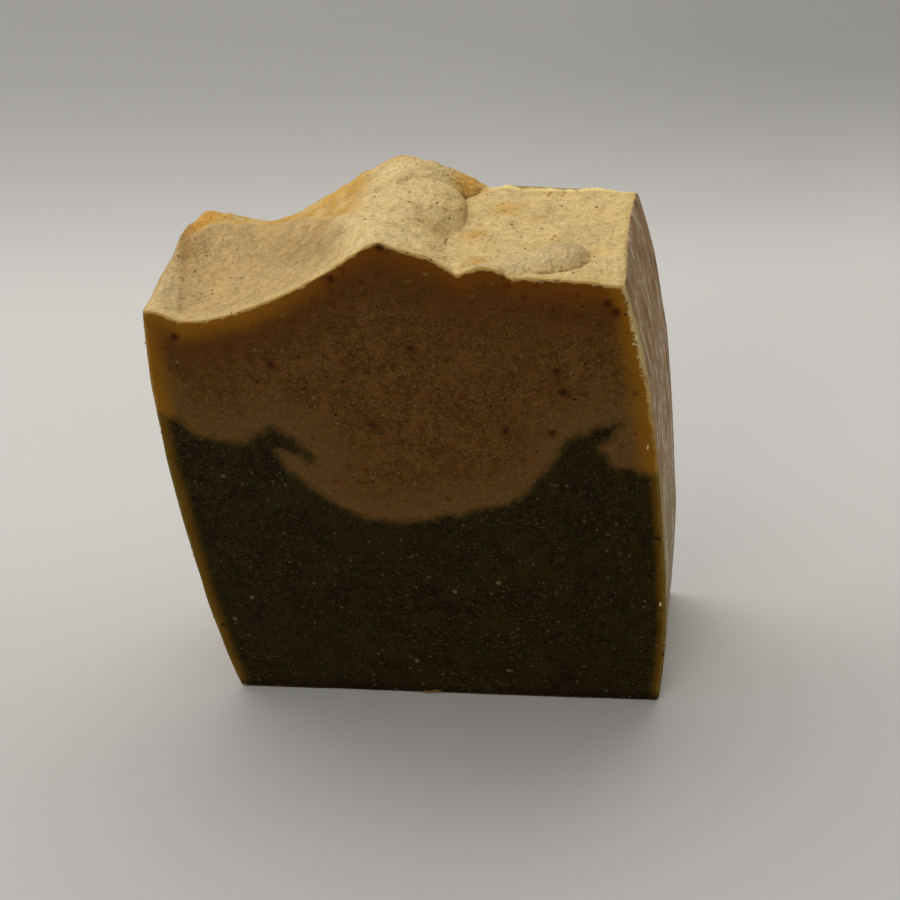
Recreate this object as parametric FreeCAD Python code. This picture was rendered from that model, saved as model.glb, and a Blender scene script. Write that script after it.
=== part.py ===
import FreeCAD, Part
import math
import os

# One slice of a poured soap loaf, in millimetres
# The slice stands on its moulded base. X runs across the mould, +Y goes back through the
# thickness and +Z is up. The origin is the middle of the base.

# Slice
BAR_WIDTH = 80.6            # widest place across the mould
BAR_THICKNESS = 30.0        # between the two knife cuts
SHOULDER_HEIGHT = 78.0      # level that the swirled top is measured from
CREST_RISE = 9.3            # front end of the crest above the shoulders

# Mould section
WIDEST_HEIGHT = 38.0        # where the bowed sides stand furthest out
SIDE_BOW = 2.6              # how far each side draws in down at the base
BOW_POWER = 2.8             # above 2 the sides are flatter in the middle than an arc
SIDE_LEAN = -0.01           # sideways lean of the section, per mm of height
FOOT_ROUND = 0.7            # rounding of the mould's two lower corners
CUT_EDGE_WEAR = 0.5         # worn bevel on the edges of the two cut faces

# Crest and crease
CREST_SOFTNESS = 4.0        # how far to either side the crest is evened out, halfway in
CREST_REACH = 7.0           # how far from the crest that is felt
BULGE_RISE = 2.4            # how full the folded lobe swells beside the crest
BULGE_MIDDLE = 3.6          # its middle, behind the middle of the slice
BULGE_FRONT_LENGTH = 5.6    # how far the lobe runs from its middle to the front
BULGE_BACK_LENGTH = 8.5     # and to the back
LOBE_STEP = 0.8             # step up at the lobe's left side
LOBE_STEP_WIDTH = 1.6
BACK_FOLD_DEPTH = 0.6       # groove where the lobe meets the soap behind it
BACK_FOLD_WIDTH = 0.8
WAIST_DEPTH = 0.8           # hollow in front of the lobe
WAIST_WIDTH = 1.7
WAIST_PLACE = -4.6
SCOOP_LENGTH = 22.0         # depth over which the left scoop drops to the front, at most
SCOOP_POWER = 1.3           # above 1 the drop is steepest near the brow
BROW_RISE = 0.4             # low ridge along the brow
BROW_WIDTH = 1.8

# Finger-shaped roll on the right
ROLL_ROOT = (12.0, -16.6)   # where its axis starts, just outside the front cut
ROLL_TIP = (26.0, -7.9)     # middle of its round end
ROLL_ROOT_RADIUS = 1.8
ROLL_TIP_RADIUS = 4.1
ROLL_ROOT_RISE = 0.8
ROLL_TIP_RISE = 1.9

# Raised rims along the mould walls
LIP_PLACE = 3.5             # where the left lip is narrowest, behind the middle of the slice
LIP_WIDTH = 0.8             # its width there
LIP_FRONT_SPREAD = 0.25     # widening of the lip towards the front, per mm
LIP_BACK_SPREAD = 0.24      # widening of the lip towards the back, per mm
RIM_REACH = 5.0             # how far in from the right side the rim is felt

# Outlines of the two cuts: share of the half width, share of the crest's rise
FRONT_OUTLINE = [
    (-0.93, -0.05), (-0.85, -0.22), (-0.75, -0.29), (-0.62, -0.20), (-0.365, 0.17), (-0.19, 0.54),
    (-0.06, 0.87), (-0.005, 0.985), (0.02, 1.0), (0.05, 0.965), (0.115, 0.86), (0.20, 0.73),
    (0.275, 0.49), (0.295, 0.44), (0.32, 0.445), (0.375, 0.44), (0.50, 0.36), (0.69, 0.28), (0.90, 0.18),
]
BACK_OUTLINE = [
    (-0.925, 0.29), (-0.86, 0.23), (-0.78, 0.17), (-0.625, 0.05), (-0.50, 0.22), (-0.32, 0.58),
    (-0.16, 0.96), (-0.045, 1.18), (0.065, 1.05), (0.21, 0.74), (0.305, 0.50), (0.395, 0.49),
    (0.55, 0.43), (0.75, 0.37), (0.89, 0.33),
]
FRONT_CREST, BACK_CREST = 0.02, -0.045      # where the crest meets each cut
FRONT_CREASE, BACK_CREASE = 0.295, 0.305    # where the crease meets each cut

# The crease beside the lobe, front to back: share of the half thickness, share of the half width
CREASE_PATH = [
    (-1.05, 0.305), (-0.8, 0.265), (-0.45, 0.23), (-0.28, 0.2125), (-0.08, 0.24), (0.14, 0.2525),
    (0.41, 0.245), (0.63, 0.225), (0.79, 0.2075), (0.89, 0.25), (1.03, 0.31),
]
# The brow, behind which the left scoop is no longer felt: share of the half width, of the half thickness
BROW_PATH = [
    (-0.93, 0.23), (-0.88, 0.42), (-0.815, 0.62), (-0.735, 0.66), (-0.60, 0.74), (-0.45, 0.50), (-0.33, 0.20),
    (-0.22, -0.07), (-0.13, -0.31), (-0.06, -0.55), (0.02, -0.98),
]
# Left side of the lobe: share of the half thickness, share of the half width
LOBE_SIDE = [(-0.2, -0.10), (0.09, -0.08), (0.25, -0.055), (0.36, -0.0075), (0.54, 0.03), (0.8, 0.06)]
# Heights of the two rims, front to back: share of the half thickness, share of the crest's rise
LEFT_RIM = [
    (-1.0, -0.09), (-0.7, -0.02), (-0.28, 0.12), (0.04, 0.27), (0.21, 0.38), (0.4, 0.41), (0.54, 0.365),
    (0.71, 0.30), (1.0, 0.25),
]
RIGHT_RIM = [(-1.0, 0.16), (-0.6, 0.22), (-0.2, 0.32), (0.25, 0.38), (0.6, 0.37), (1.0, 0.33)]

# Construction
SIDE_STATIONS = 7           # points on each bowed side of the section
SURFACE_STEP = 1.6          # spacing of the points that the top's surface runs through
SURFACE_MARGIN = 3.0        # how far that surface passes the slice on every side
EDGE_MATCH = 0.01           # how near a cut's plane an edge must lie to belong to it

HALF_WIDTH = BAR_WIDTH / 2
HALF_THICKNESS = BAR_THICKNESS / 2
BLANK_HEIGHT = SHOULDER_HEIGHT + 2 * CREST_RISE


def ease(t):
    """Smooth step from 0 to 1 with flat ends."""
    t = min(max(t, 0.0), 1.0)
    return t * t * (3 - 2 * t)


def bell(t):
    """Smooth hump, 1 in the middle and nearly 0 at t = 2."""
    return math.exp(-t * t)


def glide(stations, t):
    """Value at t on the smooth curve through (t, value) stations, level past both ends."""
    t = min(max(t, stations[0][0]), stations[-1][0])
    last = len(stations) - 1
    k = max(i for i in range(last) if stations[i][0] <= t)
    (t0, v0), (t1, v1) = stations[k], stations[k + 1]

    def slope(i):
        low, high = stations[max(i - 1, 0)], stations[min(i + 1, last)]
        return (high[1] - low[1]) / (high[0] - low[0])

    span = t1 - t0
    s = (t - t0) / span
    rise = ease(s)
    bend_in = s * (1 - s) ** 2 * span * slope(k)
    bend_out = s * s * (s - 1) * span * slope(k + 1)
    return v0 * (1 - rise) + v1 * rise + bend_in + bend_out


def half_width(z):
    """Half width of the mould section at height z: bowed, and widest at WIDEST_HEIGHT."""
    return HALF_WIDTH - SIDE_BOW * abs(z / WIDEST_HEIGHT - 1) ** BOW_POWER


def mix(a, b, share):
    return a * (1 - share) + b * share


def depth_share(y):
    """0 at the front cut and 1 at the back cut."""
    return (y + HALF_THICKNESS) / BAR_THICKNESS


def crest_at(y):
    """X of the crest line at depth y."""
    return HALF_WIDTH * mix(FRONT_CREST, BACK_CREST, depth_share(y))


def crease_at(y):
    """X of the crease line at depth y."""
    return HALF_WIDTH * glide(CREASE_PATH, y / HALF_THICKNESS)


def outline_height(outline, crest_share, crease_share, x, y):
    """Height of a cut's outline, stretched so that its crest and crease follow their lines."""
    crest, crease = crest_at(y), crease_at(y)
    if x < crest:
        share = mix(crest_share, -1, (crest - x) / (crest + HALF_WIDTH))
    elif x < crease:
        share = mix(crest_share, crease_share, (x - crest) / (crease - crest))
    else:
        share = mix(crease_share, 1, (x - crease) / (HALF_WIDTH - crease))
    return SHOULDER_HEIGHT + CREST_RISE * glide(outline, share)


def blended_outlines(x, y):
    """The two outlines joined: a straight blend on the right, a drop from a low brow in the left scoop."""
    brow = HALF_THICKNESS * glide(BROW_PATH, x / HALF_WIDTH)
    in_scoop = ease((0.1 - x / HALF_WIDTH) / 0.35)
    foot = max(brow - SCOOP_LENGTH, -HALF_THICKNESS)
    dropped = ease(min(max((y - foot) / (brow - foot), 0.0), 1.0) ** SCOOP_POWER)
    front = outline_height(FRONT_OUTLINE, FRONT_CREST, FRONT_CREASE, x, y)
    back = outline_height(BACK_OUTLINE, BACK_CREST, BACK_CREASE, x, y)
    ridge = BROW_RISE * in_scoop * bell((y - brow) / BROW_WIDTH)
    return mix(front, back, mix(depth_share(y), dropped, in_scoop)) + ridge


def poured_top(x, y):
    """The joined outlines, with the crest between the cuts evened out over three places side by side."""
    apart = CREST_SOFTNESS * bell((x - crest_at(y)) / CREST_REACH) * 4 * depth_share(y) * (1 - depth_share(y))
    return sum(blended_outlines(x + side * apart, y) for side in (-1, 0, 1)) / 3


def folded_lobe(x, y):
    """Swelling of the lobe: a step up at its left side, full towards the crease and then steep."""
    along = (x - crest_at(y)) / (crease_at(y) - crest_at(y))
    if along >= 1:
        return 0.0
    swell = bell((y - BULGE_MIDDLE) / (BULGE_FRONT_LENGTH if y < BULGE_MIDDLE else BULGE_BACK_LENGTH))
    step = LOBE_STEP * ease((x - HALF_WIDTH * glide(LOBE_SIDE, y / HALF_THICKNESS)) / LOBE_STEP_WIDTH)
    t = max(along, 0.0)
    waist = WAIST_DEPTH * bell((y - WAIST_PLACE) / WAIST_WIDTH) * ease(t * 2 - 0.8)
    return swell * (BULGE_RISE * t ** 1.4 + step) * (1 - t ** 7) - waist


def back_fold(x, y):
    """Depth of the groove that curls round behind the lobe to the crease's back end."""
    pit_y, pit_share = CREASE_PATH[-3]
    pit_x = HALF_WIDTH * pit_share
    line = HALF_THICKNESS * pit_y + (x - pit_x) * (0.47 if x < pit_x else 0.7)
    fade = ease((x - pit_x) / BAR_WIDTH * 6 + 1) * ease((crease_at(HALF_THICKNESS) - x) / 2.5)
    return BACK_FOLD_DEPTH * fade * bell((y - line) / BACK_FOLD_WIDTH)


def roll(x, y):
    """Finger of soap lying on the right: steep towards the front, soft towards the back."""
    run_x, run_y = ROLL_TIP[0] - ROLL_ROOT[0], ROLL_TIP[1] - ROLL_ROOT[1]
    length = math.hypot(run_x, run_y)
    from_root = x - ROLL_ROOT[0], y - ROLL_ROOT[1]
    along = (from_root[0] * run_x + from_root[1] * run_y) / length
    aside = (from_root[1] * run_x - from_root[0] * run_y) / length
    share = min(max(along / length, 0.0), 1.0)
    past_tip = max(along - length, 0.0)
    if past_tip >= ROLL_TIP_RADIUS:
        return 0.0
    radius = mix(ROLL_ROOT_RADIUS, ROLL_TIP_RADIUS, share)
    radius *= math.sqrt(1 - (past_tip / ROLL_TIP_RADIUS) ** 2)
    across = min(max((aside / radius + 1) / 2, 0.0), 1.0)
    rise = mix(ROLL_ROOT_RISE, ROLL_TIP_RISE, share) * radius / mix(ROLL_ROOT_RADIUS, ROLL_TIP_RADIUS, share)
    return rise * math.sin(math.pi * across ** 0.8) * ease(along / ROLL_TIP_RADIUS)


def left_lip(x, y, top):
    """Top height after the lip that was smeared up the left mould wall."""
    rim = SHOULDER_HEIGHT + CREST_RISE * glide(LEFT_RIM, y / HALF_THICKNESS)
    side = SIDE_LEAN * rim - half_width(rim)
    away = y - LIP_PLACE
    width = LIP_WIDTH + max(away * LIP_BACK_SPREAD, -away * LIP_FRONT_SPREAD)
    return mix(top, rim, ease((side + width - x) / width))


def right_rim(x, y, top):
    """Top height after the rise towards the right mould wall."""
    rim = SHOULDER_HEIGHT + CREST_RISE * glide(RIGHT_RIM, y / HALF_THICKNESS)
    side = SIDE_LEAN * rim + half_width(rim)
    return mix(top, rim, ease((x - side + RIM_REACH) / RIM_REACH))


def top_height(x, y):
    """Height of the swirled top at one point of the slice."""
    y = min(max(y, -HALF_THICKNESS), HALF_THICKNESS)
    height = poured_top(x, y) + folded_lobe(x, y) - back_fold(x, y) + roll(x, y)
    return right_rim(x, y, left_lip(x, y, height))


def evenly(low, high, step):
    """Evenly spaced values from low to high, about step apart."""
    count = math.ceil((high - low) / step)
    return [low + (high - low) * i / count for i in range(count + 1)]


def swirled_surface():
    """Smooth surface through a grid of points of the top, past the slice on every side."""
    across = evenly(-HALF_WIDTH - SURFACE_MARGIN, HALF_WIDTH + SURFACE_MARGIN, SURFACE_STEP)
    deep = evenly(-HALF_THICKNESS - SURFACE_MARGIN, HALF_THICKNESS + SURFACE_MARGIN, SURFACE_STEP)
    grid = [[FreeCAD.Vector(x, y, top_height(x, y)) for y in deep] for x in across]
    surface = Part.BSplineSurface()
    surface.interpolate(grid)
    return surface.toShape()


def side_curve(sign):
    """One bowed side of the section, from the base up to the blank's top."""
    heights = evenly(0, BLANK_HEIGHT, BLANK_HEIGHT / (SIDE_STATIONS - 1))
    points = [FreeCAD.Vector(SIDE_LEAN * z + sign * half_width(z), 0, z) for z in heights]
    curve = Part.BSplineCurve()
    curve.interpolate(points)
    return curve.toShape()


def lies_on_base(edge):
    """True for a long lower edge of the blank, where the base meets a side."""
    box = edge.BoundBox
    return box.ZMax < EDGE_MATCH and box.YLength > EDGE_MATCH and box.XLength < EDGE_MATCH


def lies_on_cut(edge):
    """True for an edge round a cut face, apart from the one that the top takes away."""
    box = edge.BoundBox
    on_cut = abs(abs(box.YMin) - HALF_THICKNESS) < EDGE_MATCH and box.YLength < EDGE_MATCH
    return on_cut and box.ZMin < BLANK_HEIGHT - EDGE_MATCH


def moulded_blank():
    """The mould's section extruded from cut to cut, with its lower corners rounded and its cut edges worn."""
    left, right = side_curve(-1), side_curve(1)
    base = Part.makeLine(left.valueAt(left.FirstParameter), right.valueAt(right.FirstParameter))
    lid = Part.makeLine(right.valueAt(right.LastParameter), left.valueAt(left.LastParameter))
    section = Part.Face(Part.Wire(Part.__sortEdges__([left, base, right, lid])))
    section.translate(FreeCAD.Vector(0, -HALF_THICKNESS, 0))
    blank = section.extrude(FreeCAD.Vector(0, BAR_THICKNESS, 0))
    blank = blank.makeFillet(FOOT_ROUND, [edge for edge in blank.Edges if lies_on_base(edge)])
    return blank.makeChamfer(CUT_EDGE_WEAR, [edge for edge in blank.Edges if lies_on_cut(edge)])


def soap_bar():
    """The blank with everything above the swirled surface taken off."""
    above = swirled_surface().extrude(FreeCAD.Vector(0, 0, BLANK_HEIGHT))
    return moulded_blank().cut(above)


os.makedirs("parts", exist_ok=True)
bar = soap_bar()
bar.exportStep("parts/soap_bar.step")
bounds = bar.optimalBoundingBox()
print("solids", len(bar.Solids), "valid", bar.isValid())
print("size", round(bounds.XLength, 2), round(bounds.YLength, 2), round(bounds.ZLength, 2))
print("volume in cubic centimetres", round(bar.Volume / 1000, 2))
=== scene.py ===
# %% [markdown]
# # A slice of poured soap
# The object is one slice of a handmade soap loaf. Two batches of soap were poured into a mould, a dark
# one and then a brown one, and the top was pushed into folds with a spoon. When the loaf had set it was
# sliced with a knife, so the slice has two flat cut faces, two bowed sides and a base that took their
# shape from the mould, and a top that was open to the air.
#
# The solid in model.glb already has the true size and the main folds. This file makes a finer skin for it:
# the same forms on a grid of cells about 0.4 mm wide and 0.8 mm high, then the small damage, and then
# three finishes.

# %% Load the frame
import math
import bpy
import numpy as np
from mathutils import Matrix, Vector


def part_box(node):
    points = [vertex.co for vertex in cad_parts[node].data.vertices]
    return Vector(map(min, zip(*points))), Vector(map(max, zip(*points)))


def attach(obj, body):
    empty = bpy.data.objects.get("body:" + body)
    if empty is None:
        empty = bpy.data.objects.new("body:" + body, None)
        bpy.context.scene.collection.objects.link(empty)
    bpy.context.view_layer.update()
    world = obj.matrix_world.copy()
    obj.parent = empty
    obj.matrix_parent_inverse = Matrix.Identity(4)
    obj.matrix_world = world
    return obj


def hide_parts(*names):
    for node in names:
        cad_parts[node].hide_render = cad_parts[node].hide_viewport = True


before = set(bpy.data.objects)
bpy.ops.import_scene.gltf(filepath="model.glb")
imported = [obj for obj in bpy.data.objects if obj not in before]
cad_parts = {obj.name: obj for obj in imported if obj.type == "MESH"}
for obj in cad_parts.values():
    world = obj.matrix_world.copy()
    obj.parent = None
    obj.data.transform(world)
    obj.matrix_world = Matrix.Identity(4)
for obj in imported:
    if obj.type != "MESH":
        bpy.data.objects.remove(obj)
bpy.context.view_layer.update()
MM = 0.001
low, high = (np.array(corner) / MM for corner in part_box("soap_bar"))
BAR_WIDTH = 80.6
BAR_THICKNESS = round(high[1] - low[1], 2)
HALF_WIDTH, HALF_THICKNESS = BAR_WIDTH / 2, BAR_THICKNESS / 2
print("solid, in mm:", np.round(high - low, 2), "thickness used:", BAR_THICKNESS)

# %% [markdown]
# ## Three small curves
# Every form below is a sum of simple shapes, and those are built from three curves: a step with soft
# ends, a hump, and a line that glides through a few heights. They take whole arrays, so a surface with
# a hundred thousand points is worked out in one go, with no loop over its points.

# %% Curves
def ease(t):
    """Smooth step: three t squared minus two t cubed, held at 0 and 1 outside."""
    t = np.clip(t, 0.0, 1.0)
    return t * t * (3 - 2 * t)


def bell(t):
    """Smooth hump: e to the power of minus t squared."""
    return np.exp(-t * t)


def mix(a, b, share):
    """Straight blend: a at share 0, b at share 1."""
    return a * (1 - share) + b * share


def glide(stations, t):
    """Smooth curve through (t, value) stations: a cubic in each gap, whose slope at a station is
    that of the line between its two neighbours. It is level past both ends."""
    at, value = np.array(stations, float).T
    slope = np.zeros_like(value)
    slope[1:-1] = (value[2:] - value[:-2]) / (at[2:] - at[:-2])
    slope[0] = (value[1] - value[0]) / (at[1] - at[0])
    slope[-1] = (value[-1] - value[-2]) / (at[-1] - at[-2])
    t = np.clip(t, at[0], at[-1])
    k = np.clip(np.searchsorted(at, t, side="right") - 1, 0, len(at) - 2)
    span = at[k + 1] - at[k]
    s = (t - at[k]) / span
    bend = s * (1 - s) ** 2 * slope[k] - s * s * (1 - s) * slope[k + 1]
    return mix(value[k], value[k + 1], ease(s)) + span * bend


print("ease, bell and glide at a quarter:", ease(0.25), bell(0.25), glide([(0, 0), (1, 1)], 0.25))

# %% [markdown]
# ## Uneven by nature
# Poured soap has no exactly smooth surface. Its unevenness is drawn as value noise: random numbers sit
# on the corners of a block grid, and between them the surface eases from one number to the next. The
# random numbers come from a table with a fixed seed, so the bar is the same every time.

# %% Noise
TABLE_SEED, TABLE_LENGTH, SEED_SHIFT = 7, 4096, 100
NOISE_TABLE = np.random.default_rng(TABLE_SEED).uniform(-1, 1, TABLE_LENGTH)
CORNERS = np.array([(i, j, k) for i in (0, 1) for j in (0, 1) for k in (0, 1)])
HASH_STEPS = np.array([73856093, 19349663, 83492791])


def uneven(points, cell, seed=0):
    """Value noise from -1 to 1: eight random corner values of a block, eased along all three axes.
    cell is the block's size, one number or one for each axis."""
    where = points / np.array(cell) + SEED_SHIFT * (seed + 1)
    block = np.floor(where).astype(np.int64)
    inside = ease(where - block)
    total = 0
    for corner in CORNERS:
        weight = np.prod(np.where(corner, inside, 1 - inside), axis=-1)
        key = (block + corner) * HASH_STEPS
        total = total + weight * NOISE_TABLE[(key[..., 0] ^ key[..., 1] ^ key[..., 2]) % TABLE_LENGTH]
    return total


print("noise at three places:", np.round(uneven(np.array([[0, 0, 0], [2, 1, 0], [5, 5, 5.0]]), 3.0), 3))

# %% [markdown]
# ## The mould's section
# A loaf mould of this kind bulges a little under the weight of the soap, so each side of the slice is a
# shallow bow. It is widest below the middle, and draws in fastest near the top and the base.

# %% Section
WIDEST_HEIGHT = 38.0
SIDE_BOW = 2.6
BOW_POWER = 2.8
SIDE_LEAN = -0.01


def half_width(z):
    """Half the section's width: the widest, less a power of the distance from the widest height."""
    return HALF_WIDTH - SIDE_BOW * np.abs(z / WIDEST_HEIGHT - 1) ** BOW_POWER


print("half widths at the base, the widest height and twice that height, in mm:",
      np.round(half_width(np.array([0, 1, 2]) * WIDEST_HEIGHT), 2))

# %% [markdown]
# ## The folded top
# Seen from the front, the top climbs from a scooped left side to a crest, falls over a fat lobe into a
# crease, and runs out flat to the right, where a finger of soap lies on it. The two cut outlines are
# drawn first, as shares of the width and of the crest's rise. Everything between them is a blend of
# the two, with the lobe, its creases, the finger and the smeared rims added one by one.

# %% Outlines of the two cuts
SHOULDER_HEIGHT = 78.0
CREST_RISE = 9.3
FRONT_OUTLINE = [
    (-0.93, -0.05), (-0.85, -0.22), (-0.75, -0.29), (-0.62, -0.20), (-0.365, 0.17), (-0.19, 0.54),
    (-0.06, 0.87), (-0.005, 0.985), (0.02, 1.0), (0.05, 0.965), (0.115, 0.86), (0.20, 0.73),
    (0.275, 0.49), (0.295, 0.44), (0.32, 0.445), (0.375, 0.44), (0.50, 0.36), (0.69, 0.28), (0.90, 0.18),
]
BACK_OUTLINE = [
    (-0.925, 0.29), (-0.86, 0.23), (-0.78, 0.17), (-0.625, 0.05), (-0.50, 0.22), (-0.32, 0.58),
    (-0.16, 0.96), (-0.045, 1.18), (0.065, 1.05), (0.21, 0.74), (0.305, 0.50), (0.395, 0.49),
    (0.55, 0.43), (0.75, 0.37), (0.89, 0.33),
]
FRONT_CREST, BACK_CREST = 0.02, -0.045
FRONT_CREASE, BACK_CREASE = 0.295, 0.305
CREASE_PATH = [
    (-1.05, 0.305), (-0.8, 0.265), (-0.45, 0.23), (-0.28, 0.2125), (-0.08, 0.24), (0.14, 0.2525),
    (0.41, 0.245), (0.63, 0.225), (0.79, 0.2075), (0.89, 0.25), (1.03, 0.31),
]
BROW_PATH = [
    (-0.93, 0.23), (-0.88, 0.42), (-0.815, 0.62), (-0.735, 0.66), (-0.60, 0.74), (-0.45, 0.50),
    (-0.33, 0.20), (-0.22, -0.07), (-0.13, -0.31), (-0.06, -0.55), (0.02, -0.98),
]
SCOOP_LENGTH, SCOOP_POWER, BROW_RISE, BROW_WIDTH = 22.0, 1.3, 0.4, 1.8
SCOOP_SIDE, SCOOP_FADE = 0.1, 0.35
CREST_SOFTNESS, CREST_REACH = 4.0, 7.0


def depth_share(y):
    """0 at the front cut and 1 at the back cut."""
    return (y + HALF_THICKNESS) / BAR_THICKNESS


def crest_at(y):
    """X of the crest: a straight line from cut to cut."""
    return HALF_WIDTH * mix(FRONT_CREST, BACK_CREST, depth_share(y))


def crease_at(y):
    """X of the crease: it bends out round the lobe and flares at both cuts."""
    return HALF_WIDTH * glide(CREASE_PATH, y / HALF_THICKNESS)


def outline_height(outline, crest_share, crease_share, x, y):
    """Height of a cut's outline, stretched sideways in three stretches so that its crest and its
    crease lie on their lines."""
    crest, crease = crest_at(y), crease_at(y)
    left = mix(crest_share, -1, (crest - x) / (crest + HALF_WIDTH))
    middle = mix(crest_share, crease_share, (x - crest) / (crease - crest))
    right = mix(crease_share, 1, (x - crease) / (HALF_WIDTH - crease))
    share = np.where(x < crest, left, np.where(x < crease, middle, right))
    return SHOULDER_HEIGHT + CREST_RISE * glide(outline, share)


def brow_at(x):
    """Depth of the brow, behind which the left scoop is no longer felt."""
    return HALF_THICKNESS * glide(BROW_PATH, x / HALF_WIDTH)


def blended_outlines(x, y):
    """Blend of the two outlines: straight on the right. In the left scoop it eases from the foot to the
    brow, steepest past halfway, and a low ridge runs along the brow."""
    brow, in_scoop = brow_at(x), ease((SCOOP_SIDE - x / HALF_WIDTH) / SCOOP_FADE)
    foot = np.maximum(brow - SCOOP_LENGTH, -HALF_THICKNESS)
    dropped = ease(np.clip((y - foot) / (brow - foot), 0, 1) ** SCOOP_POWER)
    front = outline_height(FRONT_OUTLINE, FRONT_CREST, FRONT_CREASE, x, y)
    back = outline_height(BACK_OUTLINE, BACK_CREST, BACK_CREASE, x, y)
    ridge = BROW_RISE * in_scoop * bell((y - brow) / BROW_WIDTH)
    return mix(front, back, mix(depth_share(y), dropped, in_scoop)) + ridge


def poured_top(x, y):
    """The blend with its crest softened between the cuts: a mean of three places side by side, which
    lie furthest apart at the crest and halfway in."""
    halfway_in = 4 * depth_share(y) * (1 - depth_share(y))
    apart = CREST_SOFTNESS * bell((x - crest_at(y)) / CREST_REACH) * halfway_in
    beside = blended_outlines(x - apart, y) + blended_outlines(x + apart, y)
    return (beside + blended_outlines(x, y)) / 3


print("crest and crease at the front cut, in mm:", np.round(crest_at(-HALF_THICKNESS), 2),
      np.round(crease_at(-HALF_THICKNESS), 2))

# %% Lobe, back fold and finger
BULGE_RISE, BULGE_MIDDLE, BULGE_FRONT_LENGTH, BULGE_BACK_LENGTH = 2.4, 3.6, 5.6, 8.5
LOBE_SIDE = [(-0.2, -0.10), (0.09, -0.08), (0.25, -0.055), (0.36, -0.0075), (0.54, 0.03), (0.8, 0.06)]
LOBE_STEP, LOBE_STEP_WIDTH, LOBE_FULLNESS, LOBE_STEEPNESS = 0.8, 1.6, 1.4, 7
WAIST_DEPTH, WAIST_WIDTH, WAIST_PLACE, WAIST_START, WAIST_GROWTH = 0.8, 1.7, -4.6, 0.4, 0.5
BACK_FOLD_DEPTH, BACK_FOLD_WIDTH, BACK_FOLD_END = 0.6, 0.8, 2.5
BACK_FOLD_SLOPES, BACK_FOLD_REACH = (0.47, 0.7), BAR_WIDTH / 6
ROLL_ROOT, ROLL_TIP = (12.0, -16.6), (26.0, -7.9)
ROLL_ROOT_RADIUS, ROLL_TIP_RADIUS = 1.8, 4.1
ROLL_ROOT_RISE, ROLL_TIP_RISE, ROLL_SQUEEZE = 0.8, 1.9, 0.8


def lobe_place(x, y):
    """How far a point lies from crest to crease, 0 to 1, and how strongly the lobe swells there."""
    along = (x - crest_at(y)) / (crease_at(y) - crest_at(y))
    length = np.where(y < BULGE_MIDDLE, BULGE_FRONT_LENGTH, BULGE_BACK_LENGTH)
    return along, bell((y - BULGE_MIDDLE) / length)


def folded_lobe(x, y):
    """Swelling that steps up at the lobe's left side, grows from the crest and ends steeply at the
    crease, less the waist before it."""
    along, swell = lobe_place(x, y)
    t = np.clip(along, 0, 1)
    step = LOBE_STEP * ease((x - HALF_WIDTH * glide(LOBE_SIDE, y / HALF_THICKNESS)) / LOBE_STEP_WIDTH)
    waist = WAIST_DEPTH * bell((y - WAIST_PLACE) / WAIST_WIDTH) * ease((t - WAIST_START) / WAIST_GROWTH)
    lobe = swell * (BULGE_RISE * t ** LOBE_FULLNESS + step) * (1 - t ** LOBE_STEEPNESS)
    return np.where(along < 1, lobe - waist, 0.0)


def back_fold(x, y):
    """Groove that curls round behind the lobe: a hump's shape across a bent line, faded at its ends."""
    pit_y, pit_share = CREASE_PATH[-3]
    pit_x = HALF_WIDTH * pit_share
    line = HALF_THICKNESS * pit_y + (x - pit_x) * np.where(x < pit_x, *BACK_FOLD_SLOPES)
    right_end = crease_at(HALF_THICKNESS)
    fade = ease((x - pit_x) / BACK_FOLD_REACH + 1) * ease((right_end - x) / BACK_FOLD_END)
    return BACK_FOLD_DEPTH * fade * bell((y - line) / BACK_FOLD_WIDTH)


def roll(x, y):
    """Finger of soap: across its width a half sine wave, squeezed so that it is steep in front and
    soft behind, on a radius and a rise that both grow along its axis and end in a circle."""
    run = np.subtract(ROLL_TIP, ROLL_ROOT)
    length = math.hypot(*run)
    along = ((x - ROLL_ROOT[0]) * run[0] + (y - ROLL_ROOT[1]) * run[1]) / length
    aside = ((y - ROLL_ROOT[1]) * run[0] - (x - ROLL_ROOT[0]) * run[1]) / length
    share = np.clip(along / length, 0, 1)
    full_radius = mix(ROLL_ROOT_RADIUS, ROLL_TIP_RADIUS, share)
    cap = np.sqrt(np.clip(1 - (np.maximum(along - length, 0) / ROLL_TIP_RADIUS) ** 2, 1e-6, 1))
    across = np.clip((aside / (full_radius * cap) + 1) / 2, 0, 1)
    rise = mix(ROLL_ROOT_RISE, ROLL_TIP_RISE, share) * cap
    return rise * np.sin(math.pi * across ** ROLL_SQUEEZE) * ease(along / ROLL_TIP_RADIUS)


print("rise of the finger at the middle of its tip, in mm:", np.round(roll(*ROLL_TIP), 2))

# %% Rims and the whole top
LEFT_RIM = [
    (-1.0, -0.09), (-0.7, -0.02), (-0.28, 0.12), (0.04, 0.27), (0.21, 0.38), (0.4, 0.41), (0.54, 0.365),
    (0.71, 0.30), (1.0, 0.25),
]
RIGHT_RIM = [(-1.0, 0.16), (-0.6, 0.22), (-0.2, 0.32), (0.25, 0.38), (0.6, 0.37), (1.0, 0.33)]
LIP_PLACE, LIP_WIDTH, LIP_FRONT_SPREAD, LIP_BACK_SPREAD = 3.5, 0.8, 0.25, 0.24
RIM_REACH = 5.0
LIP_CREASE_DEPTH, LIP_CREASE_WIDTH = 0.2, 0.45
BURR_RISE, BURR_WIDTH, BURR_START, BURR_GAP, BURR_FADE = 0.5, 0.6, 4.0, 3.0, 12.0
HOLLOW_PLACE, HOLLOW_RADIUS, HOLLOW_DEPTH = (20.4, -4.2), 3.2, 0.35
BOWL_DEPTH, BOWL_PLACE, BOWL_WIDTH, BOWL_RIGHT, BOWL_FADE, BOWL_FRONT = 0.7, 6.5, 4.0, -2.0, 10.0, 6.0


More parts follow.
